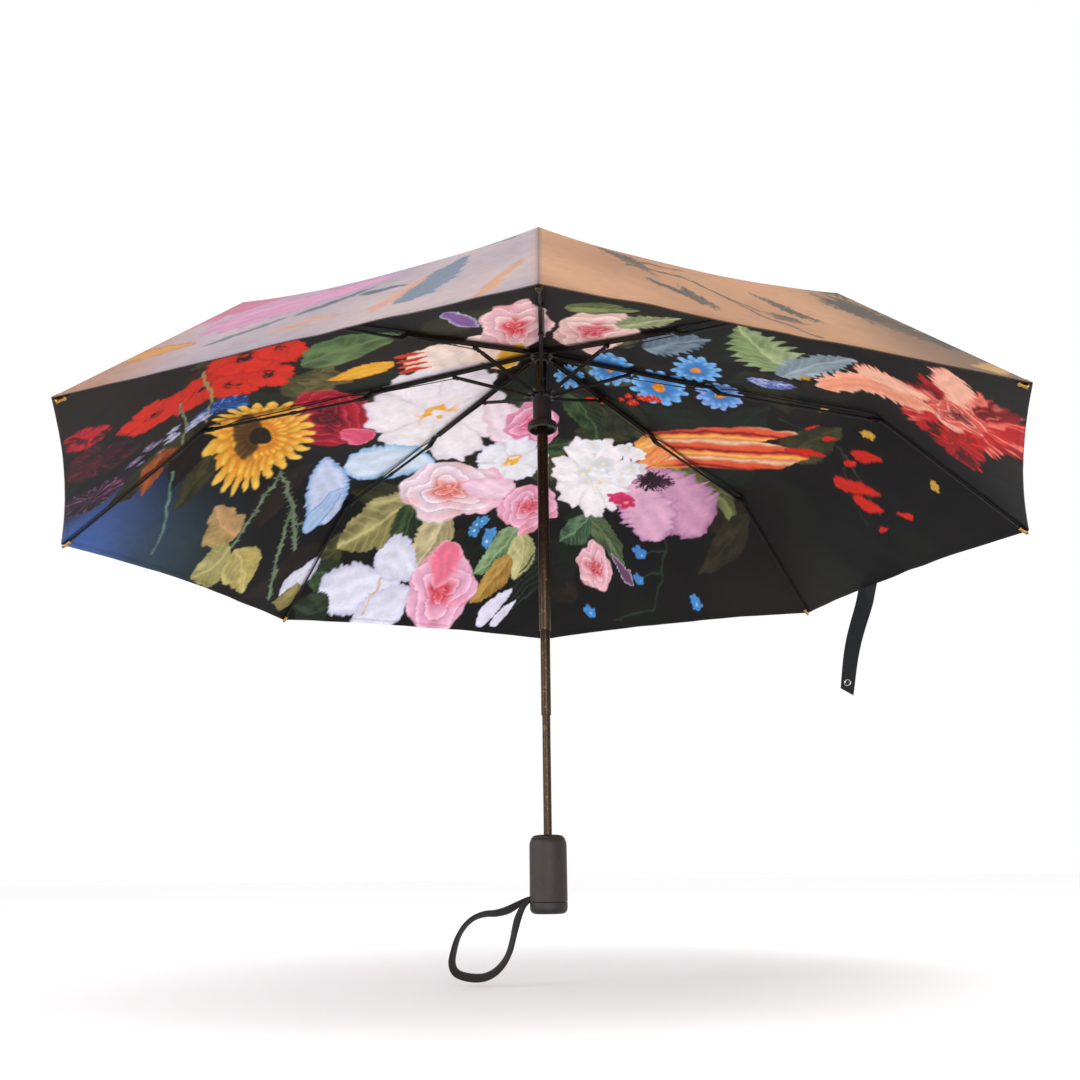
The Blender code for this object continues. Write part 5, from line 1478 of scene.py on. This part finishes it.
def thicken(piece, wall):
    # Gives an open shell a wall on its inner side, so its cut edges show a thickness
    shell = piece.modifiers.new("wall", "SOLIDIFY")
    shell.thickness = wall
    shell.offset = -1.0
    applyModifiers(piece)


def makeEndCap():
    # A darker cup with a rounded foot that the shell sits on
    radius, foot, _ = sizeOf("handle_end_cap")
    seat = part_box("handle_shell")[0][2] - endCap["seam"]
    inside, above = radius - endCap["seatIn"], seat + endCap["seatRise"]
    corners = [(0.0, foot), (radius, foot), (radius, seat), (inside, seat), (inside, above), (0.0, above)]
    profile = roundedProfile(corners, (endCap["round"], 0.0004, 0.0003, 0.0003), 10)
    piece = meshPiece("end_cap", *turnedSurface(profile, handle["sides"]), [capRubber])
    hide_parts("handle_end_cap")
    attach(piece, "handle")


def makeButton():
    # A round push button with a dished face
    low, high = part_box("push_button")
    radius, flange = button["radius"], button["flange"]
    centre = ((low[0] + high[0]) / 2, low[1], (low[2] + high[2]) / 2)
    length = high[1] - low[1]
    shallow, deep = button["dish"]
    corners = [(0, 0), (radius + flange, 0), (radius + flange, flange), (radius, flange), (radius, length)]
    corners += [(radius * 0.72, length - shallow), (0, length - deep)]
    profile = roundedProfile(corners, (0.0002, 0.0002, 0.0002, button["round"], 0.0012), 6)
    piece = meshPiece("button_smooth", *turnedSurface(profile, 72, centre, (0, 1, 0)), [buttonNylon])
    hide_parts("push_button")
    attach(piece, "push_button")


makeGrip()
makeEndCap()
makeButton()
print("handle ready")


# Wrist ribbon, on the same route as its CAD solid, in millimetres


wristRoute = (
    (-16.4, 2.1, 13.6), (-21.0, 2.0, 12.2), (-29.0, 1.7, 8.0), (-38.0, 1.3, 3.6), (-48.0, 0.9, 1.2),
    (-58.0, 0.5, 0.6), (-68.0, 0.2, -2.6), (-76.5, 0.0, -9.5), (-82.5, -0.3, -19.0),
    (-86.0, -0.6, -30.0), (-87.6, -0.9, -40.5), (-84.5, -1.2, -48.2), (-77.0, -1.5, -51.8),
    (-67.0, -1.7, -53.4), (-57.5, -1.9, -52.6), (-48.5, -2.0, -48.4), (-41.0, -2.1, -41.0),
    (-36.0, -2.2, -32.0), (-33.0, -2.2, -22.0), (-30.6, -2.2, -12.0), (-27.6, -2.2, -2.0),
    (-23.0, -2.2, 7.0), (-16.4, -2.1, 13.2),
)
ribbon = {"width": 0.0078, "endWidth": 0.0040, "thick": 0.0013, "gap": 0.0012, "spread": 0.12}
# half turns of the ribbon's face about its route, in degrees, at even steps from one end to the other
ribbonTwist = (80, 66, 48, 34, 30, 40, 58, 64, 52, 40, 44, 60, 80)


def smoothRoute(route, gap):
    # A Catmull-Rom curve through the points, then points at even distances along it
    corners = np.array([2 * route[0] - route[1], *route, 2 * route[-1] - route[-2]])
    line = []
    for number in range(1, len(corners) - 2):
        before, first, last, after = corners[number - 1 : number + 3]
        for t in np.linspace(0, 1, 24, endpoint=False):
            curve = 2 * first + (last - before) * t + (2 * before - 5 * first + 4 * last - after) * t * t
            line.append(0.5 * (curve + (3 * first - before - 3 * last + after) * t**3))
    line = np.array([*line, corners[-2]])
    reach = np.concatenate([[0], np.cumsum(np.linalg.norm(np.diff(line, axis=0), axis=1))])
    even = np.linspace(0, reach[-1], round(reach[-1] / gap) + 1)
    return np.stack([np.interp(even, reach, line[:, axis]) for axis in range(3)], axis=-1), reach[-1]


def flatSweep(line, width, thick, face):
    # A flat band along a line: face is the direction its broad side looks at each point
    direction = np.gradient(line, axis=0)
    direction /= np.linalg.norm(direction, axis=1)[:, None]
    face = face - direction * (face * direction).sum(axis=1)[:, None]
    face /= np.linalg.norm(face, axis=1)[:, None]
    side = np.cross(direction, face)
    outline = []
    for share in (-1, -0.5, 0, 0.5, 1):
        outline.append((share, 0.5 if abs(share) < 1 else 0.25))
    outline += [(share, -height) for share, height in reversed(outline)]
    share, height = np.array(outline).T
    rings = line[:, None] + side[:, None] * (share * width[:, None] / 2)[..., None]
    points = cappedRings(rings + face[:, None] * (height * thick)[:, None])
    reach = np.arange(len(line) + 2)[:, None] * 0.001
    flat = np.stack(np.broadcast_arrays(share * 0.5 * width.max(), reach), axis=-1)
    return points.reshape(-1, 3), gridFaces(len(line) + 2, len(outline), closed=True), flat.reshape(-1, 2)


def makeWristRibbon():
    line, length = smoothRoute(np.array(wristRoute) * mm, ribbon["gap"])
    share = np.linspace(0, 1, len(line))
    spread = softStep(np.minimum(share, 1 - share), 0.0, ribbon["spread"])
    width = ribbon["endWidth"] + (ribbon["width"] - ribbon["endWidth"]) * spread
    direction = np.gradient(line, axis=0)
    direction /= np.linalg.norm(direction, axis=1)[:, None]
    inPlane = np.cross(direction, (0.0, 1.0, 0.0))
    inPlane /= np.linalg.norm(inPlane, axis=1)[:, None]
    turn = np.radians(np.interp(share, np.linspace(0, 1, len(ribbonTwist)), ribbonTwist))[:, None]
    face = inPlane * np.cos(turn) - np.array((0.0, 1.0, 0.0)) * np.sin(turn)
    points, faces, flat = flatSweep(line, width, ribbon["thick"], face)
    piece = meshPiece("wrist_ribbon", points, faces, [wristRibbonFinish])
    setUv(piece, flat)
    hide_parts("wrist_strap")
    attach(piece, "handle")


makeWristRibbon()
print("wrist ribbon ready")


# Closing strap with its ring snap


strap = {
    "width": 0.020,
    "foot": 0.0165,  # its width at the lower end, as it twists
    "thick": 0.0012,
    "length": 0.125,
    "slant": 0.0065,
    "sewnRise": 0.010,  # of its sewn end over the hem, which slopes across it
    "snapRise": 0.014,
    "turn": -25.0,
    "lean": 16.0,
    "twist": 14.0,
    "curve": 0.004,
    "wave": 0.0015,
    "rows": 90,
    "columns": 13,
}


def strapFrame():
    # The strap's own axes at its pivot: across it, out of its face towards the front, and up
    turn = Matrix.Rotation(math.radians(strap["turn"]), 3, "Z")
    lean = Matrix.Rotation(math.radians(strap["lean"]), 3, "Y")
    return np.array(turn @ lean)


def strapPlace(across, down):
    # across in metres from the strap's middle, down in metres from its pivot
    axes = strapFrame()
    pivot = np.array(joints["strap_hang"]["pos_m"])
    share = np.clip(down / strap["length"], -0.2, 1.0)
    twist = np.radians(strap["twist"]) * softStep(share, 0.1, 1.0)
    hanging = math.pi * np.clip(share, 0, 1)
    x = across * np.cos(twist) - strap["curve"] * np.sin(hanging) ** 1.5
    y = -across * np.sin(twist) - strap["wave"] * np.sin(2 * hanging)
    return pivot + np.stack([x, y, -down], axis=-1) @ axes.T


def makeStrap():
    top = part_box("strap_tab")[1][2] - joints["strap_hang"]["pos_m"][2]
    rows, columns = strap["rows"], strap["columns"]
    down = np.linspace(-top, strap["length"] - strap["width"] / 2, rows)
    side = np.linspace(-1, 1, columns)
    width = np.interp(down, (0.0, strap["length"]), (strap["width"], strap["foot"]))
    cut = softStep(down, strap["length"] * 0.6, strap["length"]) * strap["slant"]
    across = (width[:, None] / 2 * side).ravel()
    sewn = softStep(down, 0.0, -top) * strap["sewnRise"]
    depth = down[:, None] - cut[:, None] * (1 - side) / 2
    depth = (depth - sewn[:, None] * (0.25 + 0.375 * (1 + side))).ravel()
    middle = strapPlace(across, depth)
    step = 0.0005
    lower, beside = strapPlace(across, depth + step), strapPlace(across + step, depth)
    normal = np.cross(lower - middle, beside - middle)
    normal /= np.linalg.norm(normal, axis=1)[:, None]
    outward = np.abs(np.tile(side, rows))
    edge = 1 - 0.25 * (outward > 0.85) + 0.35 * (outward > 0.99)
    half = (strap["thick"] / 2 * np.clip(edge, 0.7, 1.0))[:, None]
    points = np.concatenate([middle + normal * half, middle - normal * half])
    count = rows * columns
    rim, following = gridRim(rows, columns)
    rim = np.stack([rim, rim + count, following + count, following], axis=-1)
    body = gridFaces(rows, columns)
    faces = np.concatenate([body, body[:, ::-1] + count, rim])
    first, second, third = points[faces[0][:3]]
    if np.dot(np.cross(second - first, third - first), normal[0]) < 0:
        faces = faces[:, ::-1]
    piece = meshPiece("strap_cloth", points, faces, [strapRibbon])
    setUv(piece, np.tile(np.stack([across, depth], axis=-1), (2, 1)))
    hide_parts("strap_tab", "closing_strap")
    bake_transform(piece)
    return piece


snapProfiles = {  # corners as (radius, height), with the rounding between them
    "ring": ((0.0023, 0), (0.0046, 0), (0.0046, 0.0011), (0.0036, 0.0017), (0.0025, 0.0011), (0.0023, 0)),
    "socket": ((0, 0), (0.0028, 0), (0.0028, 0.0008), (0.0013, 0.0009), (0.0012, 0.0003), (0, 0.0003)),
    "cap": ((0, 0), (0.0044, 0), (0.0042, 0.0006), (0.0025, 0.0010), (0, 0.0011)),
}
snapParts = (  # name, roundings, steps, sides, which face, finish and slot
    ("ring", (0.0003,) * 4, 5, 48, 1, brightWire, "bright_steel"),
    ("socket", (0.0002,) * 4, 4, 40, 1, hubNylon, "black_nylon"),
    ("cap", (0.0003,) * 3, 4, 40, -1, brightWire, "bright_steel"),
)


def makeSnap():
    # A rolled ring round a dished socket, and a cap on the back
    down = strap["length"] - strap["width"] / 2 - strap["snapRise"]
    spots = strapPlace(np.array([0.0, 0.001, 0.0]), np.array([down, down, down + 0.001]))
    place, ahead, below = spots
    face = np.cross(ahead - place, below - place)
    face /= np.linalg.norm(face)
    if face[1] > 0:
        face = -face
    pieces = []
    for name, bends, steps, sides, way, finish, slot in snapParts:
        profile = roundedProfile(snapProfiles[name], bends, steps)
        seat = place + way * face * (strap["thick"] / 2 - 0.0001)
        piece = meshPiece(f"snap_{name}", *turnedSurface(profile, sides, seat, way * face), [finish])
        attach(piece, "closing_strap")
        pieces.append(piece)
    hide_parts("snap_button")
    return pieces


strapCloth = makeStrap()
makeSnap()
print("closing strap ready")
